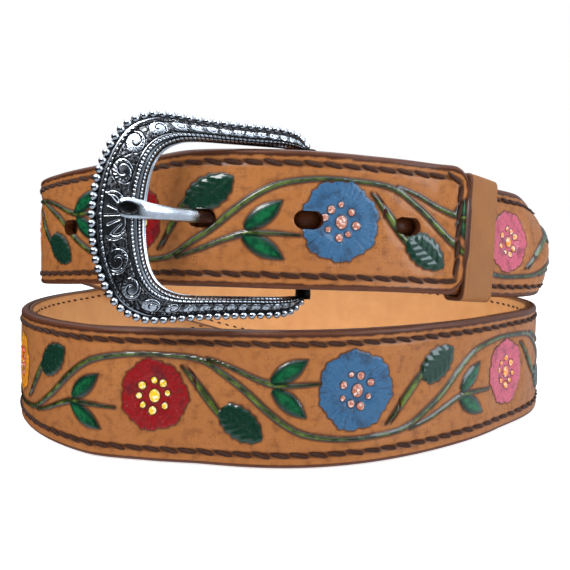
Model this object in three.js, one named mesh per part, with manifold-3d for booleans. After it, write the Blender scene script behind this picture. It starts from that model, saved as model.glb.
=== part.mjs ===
// A lined western belt of tooled leather, buckled and doubled into a coil of two turns that
// stands on the strap's lower edge. Millimetres, +Z up, the buckle towards -Y, the origin on
// the floor under the middle of the whole belt.
//
// The strap is two layers on one route. It starts behind the buckle as a folded flap, wraps the
// buckle's heel bar, runs to the right, sinks to the floor round the outside of the coil,
// crosses the front low down, climbs inside the coil at the back, and comes to the front again
// on top, where it passes behind the buckle's front and over the heel bar to its tip.

import * as THREE from 'three';
import { mergeVertices } from 'three/addons/utils/BufferGeometryUtils.js';
import Module from 'manifold-3d';

const wasm = await Module();
wasm.setup();

// Strap
const STRAP_WIDTH = 38;
const OUTER_THICKNESS = 2.6;
const LINER_THICKNESS = 1.2;
const LAYER_GAP = 0.25;
const LINER_INSET = 0.3;
const EDGE_BEVEL = 0.5;
const INNER_SHARE = 0.4;
const BOW_SHORTENING = 8 / 3;
const STATION_STEP = 9;

// Coil
const COIL_RADIUS = 100;
const LAP_GAP = 0.5;
const REST_GAP = 2.4;
const HEEL_TURN = 3.4;

// Flap behind the buckle
const FLAP_LENGTH = 45;
const FLAP_GAP = 0.4;
const FOLD_CLEARANCE = 0.3;
const FOLD_RUN_OUT = 15;
const FOLD_STEPS = 8;
const LINER_SETBACK = 8;
const SLOT_WIDTH = 10;
const SLOT_REACH = 10;

// Tip and holes
const TIP_CORNER = 5.5;
const TIP_BULGE = 1.2;
const HOLE_COUNT = 5;
const HOLE_SPACING = 29.4;
const HOLE_LENGTH = 8;
const HOLE_WIDTH = 5;
const LAST_HOLE_TO_TIP = 19.9;
// The hole that the tongue passes through, counted from the tip, and how far before the heel bar
// it lies, share of OPENING_LENGTH
const TONGUE_HOLE = 2;
const TONGUE_HOLE_PLACE = 0.673;

// Keeper
const KEEPER_TURN = 43.6;
const KEEPER_WIDTH = 18;
const KEEPER_THICKNESS = 1.6;
const KEEPER_CLEARANCE = 0.35;

// Posts that hold the flap
const POST_RADIUS = 1.6;
const POST_HEAD_RADIUS = 4.5;
const POST_HEAD_THICKNESS = 0.6;
const POST_CLEARANCE = 0.4;
const FOOT_CLEARANCE = 0.9;
const POST_SIDES = 14;
const POST_PLACES = [20, 36];

// Buckle
const STRAP_SIDE_GAP = 1.5;
const HANG_GAP = 0.4;
const OPENING_LENGTH = 43.8;
const SHOULDER_WIDTH = 6.6;
const FRONT_WIDTH = 13.6;
const FRAME_RISE = 11;
const FRAME_CREST = 2.1;
const FRAME_UNDERSIDE = 1.3;
const FRAME_STEPS = 40;
const BAR_RADIUS = 2.2;
const BAR_SIDES = 16;
const BUCKLE_YAW = 2;
const BEAD_PITCH = 2.33;
const BEAD_RADIUS = 1.15;
const BEAD_SIDES = 6;
const BEAD_ROWS = 3;

// Tongue
const TONGUE_WIDTH = 3.9;
const TONGUE_TIP_WIDTH = 5.4;
const TONGUE_THICKNESS = 2.2;
const TONGUE_EYE_GAP = 0.35;
const TONGUE_EYE_WALL = 1.3;
const TONGUE_EYE_WIDTH = 5;
const TONGUE_SIDES = 10;
const TONGUE_STEPS = 22;

// Where the strap runs. turn: degrees round the coil, 0 and 720 at the front on top, 360 at the
// front on the floor, growing to the right. reach: the grain side's distance from the coil's
// middle at the lower edge, share of COIL_RADIUS, before layers. layers: straps that it passes
// outside of, less those that it passes inside of. rise: the lower edge's height, share of the
// upper turn's. lean: degrees that the upper edge leans to the coil's middle. bow: how far the
// strap bellies outwards across its width, share of STRAP_WIDTH.
const ROUTE = [
  { turn: -12, reach: 0.998, layers: -1, rise: 1.019, lean: 0, bow: 0 },
  { turn: 3, reach: 0.998, layers: -1, rise: 1, lean: 0, bow: 0 },
  { turn: 12, reach: 0.98, layers: -1, rise: 0.988, lean: 0, bow: 0 },
  { turn: 22, reach: 0.968, layers: -1, rise: 0.965, lean: 0, bow: 0 },
  { turn: 32, reach: 0.953, layers: -0.9, rise: 0.932, lean: 0, bow: 0 },
  { turn: 42, reach: 0.907, layers: 0, rise: 0.9, lean: 0, bow: 0 },
  { turn: 52, reach: 0.914, layers: 0, rise: 0.87, lean: 0, bow: 0 },
  { turn: 59, reach: 0.947, layers: 0, rise: 0.852, lean: 0.5, bow: 0.02 },
  { turn: 66, reach: 0.992, layers: 0, rise: 0.843, lean: 3.5, bow: 0.11 },
  { turn: 73, reach: 1.025, layers: 0.07, rise: 0.838, lean: 7, bow: 0.17 },
  { turn: 84, reach: 1.013, layers: 0.9, rise: 0.815, lean: 9, bow: 0.17 },
  { turn: 100, reach: 1.026, layers: 1, rise: 0.73, lean: 9, bow: 0.13 },
  { turn: 135, reach: 1.022, layers: 1, rise: 0.54, lean: 4, bow: 0.03 },
  { turn: 165, reach: 1.01, layers: 1, rise: 0.38, lean: 0, bow: 0 },
  { turn: 210, reach: 1.005, layers: 1, rise: 0.16, lean: 0, bow: 0 },
  { turn: 255, reach: 1.02, layers: 1, rise: 0, lean: 0, bow: 0 },
  { turn: 291, reach: 1.064, layers: 0, rise: 0, lean: 0, bow: 0 },
  { turn: 325, reach: 1.048, layers: 0, rise: 0, lean: 0, bow: 0 },
  { turn: 337, reach: 1.002, layers: 0, rise: 0, lean: 0, bow: 0 },
  { turn: 347, reach: 0.976, layers: 0, rise: 0, lean: 0, bow: 0 },
  { turn: 360, reach: 0.98, layers: 0, rise: 0, lean: 0, bow: 0 },
  { turn: 393, reach: 0.95, layers: 0, rise: 0, lean: 0, bow: 0 },
  { turn: 407, reach: 0.957, layers: 0, rise: 0, lean: 0, bow: 0 },
  { turn: 426, reach: 1.015, layers: 0, rise: 0, lean: 0, bow: 0 },
  { turn: 440, reach: 1.033, layers: 0, rise: 0, lean: 0, bow: 0 },
  { turn: 465, reach: 1.013, layers: 0, rise: 0, lean: 0, bow: 0 },
  { turn: 520, reach: 0.99, layers: 0, rise: 0, lean: 0, bow: 0 },
  { turn: 548, reach: 0.99, layers: 0, rise: 0.07, lean: 0, bow: 0 },
  { turn: 576, reach: 0.987, layers: 0, rise: 0.33, lean: 0, bow: 0 },
  { turn: 600, reach: 0.985, layers: 0, rise: 0.64, lean: 0, bow: 0 },
  { turn: 622, reach: 0.985, layers: 0, rise: 0.86, lean: 0, bow: 0 },
  { turn: 640, reach: 0.985, layers: 0, rise: 0.935, lean: 0, bow: 0 },
  { turn: 655, reach: 0.997, layers: 0, rise: 0.945, lean: 0, bow: 0 },
  { turn: 668, reach: 0.968, layers: 0, rise: 0.965, lean: 0, bow: 0 },
  { turn: 680, reach: 0.945, layers: 0, rise: 0.985, lean: 0, bow: 0 },
  { turn: 694, reach: 0.95, layers: 0, rise: 1, lean: 0, bow: 0 },
  { turn: 706, reach: 1.005, layers: 0, rise: 1.01, lean: 0, bow: 0 },
  { turn: 720, reach: 1.005, layers: 0, rise: 1, lean: 0, bow: 0 },
  { turn: 736, reach: 0.984, layers: 0, rise: 0.975, lean: 0, bow: 0 },
  { turn: 745, reach: 0.988, layers: 0, rise: 0.955, lean: 0, bow: 0 },
  { turn: 753, reach: 1.03, layers: 0, rise: 0.935, lean: 0, bow: 0 },
  { turn: 762, reach: 1.09, layers: 0, rise: 0.91, lean: 0, bow: 0 },
];

// Half of the buckle's frame, from the end of its arm at the heel bar to the middle of its
// front. innerAlong: share of OPENING_LENGTH from the bar. innerAcross: share of half the
// opening's height. outerAlong: share of the frame's whole length. outerAcross: share of half
// the frame's height. rise: share of FRAME_RISE outwards from the bar.
const FRAME_OUTLINE = [
  { innerAlong: 0, innerAcross: 1, outerAlong: 0, outerAcross: 0.79, rise: 0.05 },
  { innerAlong: 0.043, innerAcross: 1, outerAlong: 0.033, outerAcross: 0.862, rise: 0.14 },
  { innerAlong: 0.098, innerAcross: 1, outerAlong: 0.076, outerAcross: 0.917, rise: 0.32 },
  { innerAlong: 0.21, innerAcross: 1, outerAlong: 0.166, outerAcross: 0.938, rise: 0.56 },
  { innerAlong: 0.445, innerAcross: 1, outerAlong: 0.358, outerAcross: 0.947, rise: 0.7 },
  { innerAlong: 0.65, innerAcross: 1, outerAlong: 0.544, outerAcross: 0.969, rise: 0.8 },
  { innerAlong: 0.772, innerAcross: 0.983, outerAlong: 0.66, outerAcross: 0.993, rise: 0.86 },
  { innerAlong: 0.85, innerAcross: 0.93, outerAlong: 0.735, outerAcross: 0.998, rise: 0.9 },
  { innerAlong: 0.905, innerAcross: 0.847, outerAlong: 0.812, outerAcross: 0.951, rise: 0.94 },
  { innerAlong: 0.94, innerAcross: 0.744, outerAlong: 0.868, outerAcross: 0.868, rise: 0.97 },
  { innerAlong: 0.966, innerAcross: 0.61, outerAlong: 0.912, outerAcross: 0.74, rise: 1 },
  { innerAlong: 0.982, innerAcross: 0.47, outerAlong: 0.948, outerAcross: 0.585, rise: 1 },
  { innerAlong: 0.992, innerAcross: 0.315, outerAlong: 0.976, outerAcross: 0.41, rise: 1 },
  { innerAlong: 0.998, innerAcross: 0.155, outerAlong: 0.993, outerAcross: 0.21, rise: 1 },
  { innerAlong: 1, innerAcross: 0, outerAlong: 1, outerAcross: 0, rise: 1 },
];

// The frame's upper side, from its outer to its inner edge. across: share of the way. height:
// share of FRAME_CREST.
const FRAME_SECTION = [
  { across: 0, height: 0.05 },
  { across: 0.12, height: 0.3 },
  { across: 0.6, height: 1 },
  { across: 0.84, height: 0.72 },
  { across: 1, height: 0.05 },
];

// The tongue's middle line. along: share of OPENING_LENGTH from the bar. rise: share of
// FRAME_RISE outwards. side: share of TONGUE_WIDTH upwards. width: share of the way from
// TONGUE_WIDTH to TONGUE_TIP_WIDTH. thickness: share of TONGUE_THICKNESS.
const TONGUE_LINE = [
  { along: 0.03, rise: 0.264, side: 0.08, width: 0, thickness: 0.9 },
  { along: 0.21, rise: 0.24, side: 0.09, width: -0.15, thickness: 0.9 },
  { along: 0.35, rise: 0.17, side: 0.1, width: -0.3, thickness: 0.9 },
  { along: 0.48, rise: 0.055, side: 0.12, width: -0.35, thickness: 0.9 },
  { along: 0.55, rise: 0.005, side: 0.14, width: -0.35, thickness: 0.9 },
  { along: 0.62, rise: 0.1, side: 0.16, width: -0.3, thickness: 0.9 },
  { along: 0.75, rise: 0.5, side: 0.21, width: -0.15, thickness: 0.95 },
  { along: 0.88, rise: 0.93, side: 0.28, width: 0, thickness: 1 },
  { along: 0.96, rise: 1.16, side: 0.34, width: 0.2, thickness: 1 },
  { along: 1.03, rise: 1.28, side: 0.42, width: 0.75, thickness: 1 },
  { along: 1.09, rise: 1.322, side: 0.48, width: 1, thickness: 1 },
  { along: 1.13, rise: 1.315, side: 0.52, width: 0.6, thickness: 0.9 },
  { along: 1.15, rise: 1.305, side: 0.54, width: -0.6, thickness: 0.6 },
];

const PACK = OUTER_THICKNESS + LAYER_GAP + LINER_THICKNESS;
const OPENING_HALF = STRAP_WIDTH / 2 + STRAP_SIDE_GAP;
const FRAME_HALF = OPENING_HALF + SHOULDER_WIDTH;
const FRAME_LENGTH = OPENING_LENGTH + FRONT_WIDTH;
const UPPER_RISE = STRAP_WIDTH / 2 + FRAME_HALF + BEAD_RADIUS + REST_GAP;
const FOLD_RADIUS = BAR_RADIUS + FOLD_CLEARANCE + OUTER_THICKNESS;

const radians = THREE.MathUtils.degToRad;
const lerp = THREE.MathUtils.lerp;

// Values between a table's rows

// One column at a place along another. The curve is smooth, never overshoots its rows, and so
// stays level where they do.
function between(rows, column, by, place) {
  const last = rows.length - 1;
  const rate = (i) => (rows[i + 1][column] - rows[i][column]) / (rows[i + 1][by] - rows[i][by]);
  const slope = (i) => {
    if (i === 0 || i === last) return 0;
    const before = rate(i - 1);
    const after = rate(i);
    return before * after <= 0 ? 0 : (2 * before * after) / (before + after);
  };
  let i = 0;
  while (i < last - 1 && place > rows[i + 1][by]) i += 1;
  const span = rows[i + 1][by] - rows[i][by];
  const t = THREE.MathUtils.clamp((place - rows[i][by]) / span, 0, 1);
  const start = (1 + 2 * t) * (1 - t) ** 2 * rows[i][column];
  const finish = (3 - 2 * t) * t ** 2 * rows[i + 1][column];
  const bend = span * t * (1 - t) * ((1 - t) * slope(i) - t * slope(i + 1));
  return start + finish + bend;
}

const routeAt = (column, turn) => between(ROUTE, column, 'turn', turn);

// The strap's route

// The grain side's lower edge.
function routePoint(turn) {
  const reach = COIL_RADIUS * routeAt('reach', turn) + routeAt('layers', turn) * (PACK + LAP_GAP);
  const height = UPPER_RISE * routeAt('rise', turn);
  return new THREE.Vector3(reach * Math.sin(radians(turn)), -reach * Math.cos(radians(turn)), height);
}

// The strap's middle there and its own directions: along it, out of its grain side, and up
// across it. A strap that bellies is less high: its width runs round the bow.
function station(turn) {
  const reach = 0.5;
  const along = routePoint(turn + reach).sub(routePoint(turn - reach)).normalize();
  const out = new THREE.Vector3(along.y, -along.x, 0).normalize();
  const up = new THREE.Vector3().crossVectors(out, along);
  const lean = -radians(routeAt('lean', turn));
  out.applyAxisAngle(along, lean);
  up.applyAxisAngle(along, lean);
  const bow = routeAt('bow', turn);
  const height = 1 - BOW_SHORTENING * bow ** 2;
  const point = routePoint(turn).addScaledVector(up, (height * STRAP_WIDTH) / 2);
  return { point, along, out, up, height, belly: bow * STRAP_WIDTH };
}

// A point of the strap: a depth under its grain side, a distance up from its middle line.
function onStrap(place, depth, across) {
  const share = (2 * across) / STRAP_WIDTH;
  const outwards = place.belly * Math.max(1 - share ** 2, 0) - depth;
  return place.point.clone()
    .addScaledVector(place.out, outwards)
    .addScaledVector(place.up, across * place.height);
}

// The turn that lies a length of grain side further along, or back where the length is negative.
function turnAfter(turn, length) {
  const step = Math.sign(length) * 0.25;
  let place = turn;
  let left = Math.abs(length);
  while (left > 0) {
    const next = routePoint(place).distanceTo(routePoint(place + step));
    place += step * Math.min(left / next, 1);
    left -= next;
  }
  return place;
}

const TIP_TURN = turnAfter(
  turnAfter(720 + HEEL_TURN, -TONGUE_HOLE_PLACE * OPENING_LENGTH),
  LAST_HOLE_TO_TIP + TONGUE_HOLE * HOLE_SPACING,
);

// Turns from one to another, closer together where the strap leans. Every piece that follows
// the strap uses the same ones, so that its facets stay parallel to the strap's.
function turnsBetween(from, to) {
  const step = STATION_STEP / 2;
  const turns = [];
  for (let turn = Math.ceil(from / step) * step; turn < to; turn += step) {
    const leans = routeAt('lean', turn - step) + routeAt('lean', turn + step) > 0;
    const shared = leans || turn % STATION_STEP === 0;
    if (shared && turn > from + step / 10 && turn < to - step / 10) turns.push(turn);
  }
  return [from, ...turns, to];
}

// Solids

// A closed solid through rings of points with flat ends. The second half of each ring has its
// diagonals the other way, so that two parallel layers are faceted alike.
function loft(rings) {
  const count = rings[0].length;
  const positions = rings.flat().flatMap((p) => [p.x, p.y, p.z]);
  const index = [];
  for (let i = 0; i + 1 < rings.length; i += 1) {
    for (let j = 0; j < count; j += 1) {
      const a = i * count + j;
      const b = i * count + ((j + 1) % count);
      if (j < count / 2) index.push(a, b, b + count, a, b + count, a + count);
      else index.push(a, b, a + count, b, b + count, a + count);
    }
  }
  const end = (rings.length - 1) * count;
  for (let j = 1; j + 1 < count; j += 1) {
    index.push(0, j + 1, j, end, end + j, end + j + 1);
  }
  const geometry = new THREE.BufferGeometry();
  geometry.setAttribute('position', new THREE.Float32BufferAttribute(positions, 3));
  geometry.setIndex(volume(geometry, index) < 0 ? turnedOver(index) : index);
  return geometry;
}

function volume(geometry, index) {
  const corner = (k) => new THREE.Vector3().fromBufferAttribute(geometry.attributes.position, k);
  let total = 0;
  for (let k = 0; k < index.length; k += 3) {
    total += corner(index[k]).dot(corner(index[k + 1]).cross(corner(index[k + 2])));
  }
  return total;
}

function turnedOver(index) {
  return index.map((_, k) => index[k - (k % 3) + [1, 0, 2][k % 3]]);
}

// A geometry as a solid that can be cut and joined.
function solid(source) {
  const bare = source.clone();
  bare.deleteAttribute('normal');
  bare.deleteAttribute('uv');
  const merged = mergeVertices(bare, 1e-4);
  return new wasm.Manifold(
    new wasm.Mesh({
      numProp: 3,
      vertProperties: new Float32Array(merged.attributes.position.array),
      triVerts: new Uint32Array(merged.index.array),
    }),
  );
}

function geometryOf(manifold) {
  const mesh = manifold.getMesh();
  const geometry = new THREE.BufferGeometry();
  geometry.setAttribute('position', new THREE.Float32BufferAttribute(mesh.vertProperties, 3));
  geometry.setIndex(Array.from(mesh.triVerts));
  geometry.computeVertexNormals();
  return geometry;
}

const union = (parts) => parts.reduce((whole, part) => whole.add(part));

// Moves a shape drawn with x along the strap, y across it and z outwards to a turn.
function placed(geometry, turn, outwards = 0) {
  const { point, along, out, up } = station(turn);
  const place = new THREE.Matrix4().makeBasis(along, up, out);
  return geometry.applyMatrix4(place.setPosition(point.addScaledVector(out, outwards)));
}

// A round disc across the strap that grows inwards from a height over the grain side.
function disc(radius, thickness, height) {
  const geometry = new THREE.CylinderGeometry(radius, radius, thickness, POST_SIDES);
  return geometry.rotateX(Math.PI / 2).translate(0, 0, height - thickness / 2);
}

// The strap's two layers

const TIP_LENGTH = TIP_BULGE + TIP_CORNER;
const TIP_SHARES = [1, 0.8, 0.6, 0.43, 0.3, 0.18, 0.08, 0];
const tipTurns = TIP_SHARES.map((share) => turnAfter(TIP_TURN, -share * TIP_LENGTH));
const toTip = (turn) => (TIP_TURN - turn) * TIP_LENGTH / (TIP_TURN - tipTurns[0]);

// Half of the strap's width, which the blunt tip narrows.
function halfWidth(turn) {
  const half = STRAP_WIDTH / 2;
  const left = toTip(turn);
  if (left > TIP_LENGTH) return half;
  if (left <= TIP_BULGE) return (half - TIP_CORNER) * Math.sqrt(0.3 + (0.7 * left) / TIP_BULGE);
  const inside = TIP_LENGTH - left;
  return half - TIP_CORNER + Math.sqrt(TIP_CORNER ** 2 - inside ** 2);
}

// One ring of a layer: its grain side at a depth, upwards, then its flesh side, downwards. A
// bevel takes the corners off, and is 0 on a side that meets the other layer.
function layerRing(place, half, depth, thickness, grainBevel, fleshBevel) {
  const inner = INNER_SHARE * half;
  const sign = Math.sign(thickness);
  const grain = depth + sign * grainBevel;
  const flesh = depth + thickness - sign * fleshBevel;
  const corner = (inwards, across) => onStrap(place, inwards, across);
  const upwards = [-half + grainBevel, -inner, inner, half - grainBevel];
  const downwards = [half - fleshBevel, inner, -inner, -half + fleshBevel];
  return [
    ...upwards.map((across) => corner(depth, across)),
    corner(grain, half), corner(flesh, half),
    ...downwards.map((across) => corner(depth + thickness, across)),
    corner(flesh, -half), corner(grain, -half),
  ];
}

// How deep the flap's grain side lies under the strap's: the fold's height, then flat on it.
function flapDepth(turn) {
  const runOut = turnAfter(HEEL_TURN, FOLD_RUN_OUT) - HEEL_TURN;
  const near = THREE.MathUtils.smoothstep((turn - HEEL_TURN) / runOut, 0, 1);
  return lerp(2 * FOLD_RADIUS, PACK + FLAP_GAP + OUTER_THICKNESS, near);
}

const barCentre = (place) => place.point.clone().addScaledVector(place.out, -FOLD_RADIUS);

// The flap behind, from its end to the heel bar, then half round the bar.
function flapRings() {
  const half = STRAP_WIDTH / 2;
  const heel = station(HEEL_TURN);
  const turns = turnsBetween(HEEL_TURN, turnAfter(HEEL_TURN, FLAP_LENGTH)).reverse();
  const rings = turns.slice(0, -1).map((turn) => {
    return layerRing(station(turn), half, flapDepth(turn), -OUTER_THICKNESS, EDGE_BEVEL, 0);
  });
  for (let i = 0; i <= FOLD_STEPS; i += 1) {
    const angle = Math.PI * (i / FOLD_STEPS - 0.5);
    const out = heel.out.clone().multiplyScalar(Math.sin(angle))
      .addScaledVector(heel.along, -Math.cos(angle));
    const point = barCentre(heel).addScaledVector(out, FOLD_RADIUS);
    rings.push(layerRing({ ...heel, point, out }, half, 0, OUTER_THICKNESS, EDGE_BEVEL, 0));
  }
  return rings;
}

function strapOuter() {
  const run = [...turnsBetween(HEEL_TURN, tipTurns[0]).slice(1), ...tipTurns.slice(1)]
    .map((turn) => layerRing(station(turn), halfWidth(turn), 0, OUTER_THICKNESS, EDGE_BEVEL, 0));
  const strap = solid(loft([...flapRings(), ...run]));
  return geometryOf(strap.subtract(tongueSlot()).subtract(holes()).subtract(postHoles()));
}

function strapLiner() {
  const start = turnAfter(HEEL_TURN, LINER_SETBACK);
  const depth = OUTER_THICKNESS + LAYER_GAP;
  const run = [...turnsBetween(start, tipTurns[0]), ...tipTurns.slice(1)].map((turn) => layerRing(
    station(turn), halfWidth(turn) - LINER_INSET, depth, LINER_THICKNESS, 0, LINER_THICKNESS / 3,
  ));
  return geometryOf(solid(loft(run)).subtract(holes()).subtract(postHoles()));
}

// The slot through both sides of the fold, which lets the tongue out.
function tongueSlot() {
  const length = SLOT_REACH + 2 * FOLD_RADIUS;
  const slot = new THREE.BoxGeometry(length, SLOT_WIDTH, 4 * FOLD_RADIUS);
  return solid(placed(slot.translate(SLOT_REACH - length / 2, 0, 0), HEEL_TURN, -FOLD_RADIUS));
}

const holeTurn = (i) => turnAfter(TIP_TURN, -LAST_HOLE_TO_TIP - i * HOLE_SPACING);

function holes() {
  const depth = 3 * PACK;
  const end = HOLE_WIDTH / 2;
  const straight = (HOLE_LENGTH - HOLE_WIDTH) / 2;
  const cutters = Array.from({ length: HOLE_COUNT }, (_, i) => {
    const outline = new THREE.Shape();
    outline.absarc(straight, 0, end, -Math.PI / 2, Math.PI / 2);
    outline.absarc(-straight, 0, end, Math.PI / 2, -Math.PI / 2);
    const cutter = new THREE.ExtrudeGeometry(outline, { depth, bevelEnabled: false, curveSegments: 5 });
    return solid(placed(cutter.translate(0, 0, -depth / 2), holeTurn(i)));
  });
  return union(cutters);
}

// The posts that hold the flap

const postTurns = POST_PLACES.map((place) => turnAfter(HEEL_TURN, place));

function postHoles() {
  const depth = 2 * FOLD_RADIUS + 2 * PACK;
  const holeRadius = POST_RADIUS + POST_CLEARANCE;
  return union(postTurns.map((turn) => solid(placed(disc(holeRadius, depth, PACK), turn))));
}

function post(turn) {
  const inside = flapDepth(turn) + FOOT_CLEARANCE;
  const top = POST_CLEARANCE + POST_HEAD_THICKNESS;
  const shank = disc(POST_RADIUS, inside + top, top);
  const head = disc(POST_HEAD_RADIUS, POST_HEAD_THICKNESS, top);
  const foot = disc(POST_HEAD_RADIUS, POST_HEAD_THICKNESS, -inside);
  return placed(geometryOf(union([shank, head, foot].map(solid))), turn);
}

// The keeper, a band round both layers

function keeperRing(turn, clearance) {
  const place = station(turn);
  const corner = (inwards, across) => onStrap(place, inwards, across);
  const half = STRAP_WIDTH / 2 + clearance;
  const depth = PACK + clearance;
  const round = clearance * 0.7;
  return [
    corner(-clearance, -half + round), corner(-clearance, half - round),
    corner(round - clearance, half), corner(depth - round, half),
    corner(depth, half - round), corner(depth, -half + round),
    corner(depth - round, -half), corner(round - clearance, -half),
  ];
}

function keeperBand(clearance, length) {
  const turns = turnsBetween(turnAfter(KEEPER_TURN, -length / 2), turnAfter(KEEPER_TURN, length / 2));
  return solid(loft(turns.map((turn) => keeperRing(turn, clearance))));
}

function keeperLoop() {
  const outside = keeperBand(KEEPER_CLEARANCE + KEEPER_THICKNESS, KEEPER_WIDTH);
  return geometryOf(outside.subtract(keeperBand(KEEPER_CLEARANCE, KEEPER_WIDTH * 1.2)));
}

// The buckle, drawn with x away from its front, y up and z outwards, the heel bar on x = 0

const frameRows = FRAME_OUTLINE.map((row, i, all) => ({ ...row, place: i / (all.length - 1) }));

// Both edges of the frame, from the upper arm's end round the front to the lower arm's end.
function frameEdges(share) {
  const place = 1 - Math.abs(2 * share - 1);
  const side = Math.sign(0.5 - share);
  const value = (column) => between(frameRows, column, 'place', place);
  const height = value('rise') * FRAME_RISE;
  const outer = new THREE.Vector3(
    -value('outerAlong') * FRAME_LENGTH, side * value('outerAcross') * FRAME_HALF, height,
  );
  const inner = new THREE.Vector3(
    -value('innerAlong') * OPENING_LENGTH, side * value('innerAcross') * OPENING_HALF, height,
  );
  return { outer, inner };
}

function frameRing(share) {
  const { outer, inner } = frameEdges(share);
  const point = (across, height) => outer.clone().lerp(inner, across).setZ(outer.z + height);
  const top = FRAME_SECTION.map((row) => point(row.across, row.height * FRAME_CREST));
  return [...top, point(1, -FRAME_UNDERSIDE), point(0, -FRAME_UNDERSIDE)];
}

// The cast beads along the frame's outer edge.
function beads() {
  const steps = 4 * FRAME_STEPS;
  const path = Array.from({ length: steps + 1 }, (_, i) => frameEdges(i / steps).outer);
  const curve = new THREE.CatmullRomCurve3(path);
  curve.arcLengthDivisions = steps * 2;
  const count = Math.floor(curve.getLength() / BEAD_PITCH);
  return Array.from({ length: count }, (_, i) => {
    const share = (i + 0.5) / count;
    const bead = new THREE.SphereGeometry(BEAD_RADIUS, BEAD_SIDES, BEAD_ROWS);
    const { x, y, z } = curve.getPointAt(share);
    return solid(bead.rotateX(Math.PI / 2).translate(x, y, z));
  });
}

function buckleFrame() {
  const rings = Array.from({ length: FRAME_STEPS + 1 }, (_, i) => frameRing(i / FRAME_STEPS));
  const arm = frameEdges(0).outer.y;
  const bar = new THREE.CylinderGeometry(BAR_RADIUS, BAR_RADIUS, 2 * arm, BAR_SIDES);
  return geometryOf(union([solid(loft(rings)), solid(bar), ...beads()]));
}

// The tongue

function tongueRing(along) {
  const value = (column) => between(TONGUE_LINE, column, 'along', along);
  const half = lerp(TONGUE_WIDTH, TONGUE_TIP_WIDTH, value('width')) / 2;
  const thick = (TONGUE_THICKNESS * value('thickness')) / 2;
  const x = -along * OPENING_LENGTH;
  const y = value('side') * TONGUE_WIDTH;
  const z = value('rise') * FRAME_RISE;
  return Array.from({ length: TONGUE_SIDES }, (_, i) => {
    const angle = (2 * Math.PI * (i + 0.5)) / TONGUE_SIDES;
    return new THREE.Vector3(x, y + Math.cos(angle) * half, z + Math.sin(angle) * thick);
  });
}

function tongue() {
  const first = TONGUE_LINE[0];
  const last = TONGUE_LINE[TONGUE_LINE.length - 1];
  const rings = Array.from({ length: TONGUE_STEPS + 1 }, (_, i) => (
    tongueRing(lerp(last.along, first.along, (1 - i / TONGUE_STEPS) ** 1.5 * -1 + 1))
  ));
  const bore = BAR_RADIUS + TONGUE_EYE_GAP;
  const wall = bore + TONGUE_EYE_WALL;
  const eye = new THREE.CylinderGeometry(wall, wall, TONGUE_EYE_WIDTH, BAR_SIDES);
  const hollow = new THREE.CylinderGeometry(bore, bore, TONGUE_EYE_WIDTH * 2, BAR_SIDES);
  const y = first.side * TONGUE_WIDTH;
  const whole = solid(loft(rings)).add(solid(eye.translate(0, y, 0)));
  return geometryOf(whole.subtract(solid(hollow.translate(0, y, 0))));
}

// The belt

const grain = new THREE.MeshStandardMaterial({ color: 0xb9773f, roughness: 0.45 });
const lining = new THREE.MeshStandardMaterial({ color: 0xd9a468, roughness: 0.6 });
const plainLeather = new THREE.MeshStandardMaterial({ color: 0xb98550, roughness: 0.55 });
const silver = new THREE.MeshStandardMaterial({ color: 0xb8bcc0, roughness: 0.25, metalness: 1 });
const steel = new THREE.MeshStandardMaterial({ color: 0x8d8a84, roughness: 0.35, metalness: 1 });

function mesh(name, geometry, material) {
  const piece = new THREE.Mesh(geometry, material);
  piece.name = name;
  return piece;
}

const buckle = new THREE.Group();
buckle.add(mesh('buckle_frame', buckleFrame(), silver));
buckle.add(mesh('buckle_tongue', tongue(), silver));
const heel = station(HEEL_TURN);
const backwards = heel.along.clone().applyAxisAngle(heel.up, radians(BUCKLE_YAW));
const outwards = new THREE.Vector3().crossVectors(backwards, heel.up);
buckle.quaternion.setFromRotationMatrix(
  new THREE.Matrix4().makeBasis(backwards, heel.up, outwards),
);
buckle.position.copy(barCentre(heel)).addScaledVector(heel.up, HANG_GAP - STRAP_SIDE_GAP);

const belt = new THREE.Group();
belt.add(mesh('strap_outer', strapOuter(), grain));
belt.add(mesh('strap_liner', strapLiner(), lining));
belt.add(mesh('keeper_loop', keeperLoop(), plainLeather));
postTurns.forEach((turn, i) => belt.add(mesh(`flap_post_${i + 1}`, post(turn), steel)));
belt.add(buckle);

// The origin goes to the floor under the belt's middle.
belt.updateMatrixWorld(true);
const extent = new THREE.Box3().setFromObject(belt, true);
const middle = extent.getCenter(new THREE.Vector3());
belt.position.set(-middle.x, -middle.y, -extent.min.z);
belt.updateMatrixWorld(true);

export default belt;
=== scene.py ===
# %% [markdown]
# # A tooled western belt, buckled and standing as a coil
# The belt is one strap of two leather layers, doubled into two turns that stand on the strap's
# lower edge. Its outside is tooled and painted with flowers, its buckle is engraved silver, and
# a plain keeper sits on the right. This file dresses the fixed frame of solids, in metres.

# %% The frame and its box
import math
import bpy
import numpy as np
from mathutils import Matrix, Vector


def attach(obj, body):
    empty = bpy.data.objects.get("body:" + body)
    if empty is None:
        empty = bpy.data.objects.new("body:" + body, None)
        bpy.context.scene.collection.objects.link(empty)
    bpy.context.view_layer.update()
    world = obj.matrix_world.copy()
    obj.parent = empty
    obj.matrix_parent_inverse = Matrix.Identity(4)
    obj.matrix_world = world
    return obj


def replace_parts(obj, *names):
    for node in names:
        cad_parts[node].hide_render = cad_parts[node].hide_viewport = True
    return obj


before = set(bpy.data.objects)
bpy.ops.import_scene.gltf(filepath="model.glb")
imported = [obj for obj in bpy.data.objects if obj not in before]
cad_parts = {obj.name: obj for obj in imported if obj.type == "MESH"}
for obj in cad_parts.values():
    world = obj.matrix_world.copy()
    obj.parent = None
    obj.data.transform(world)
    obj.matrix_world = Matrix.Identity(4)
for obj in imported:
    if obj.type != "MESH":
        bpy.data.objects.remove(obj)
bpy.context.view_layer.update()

MM = 0.001

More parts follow.
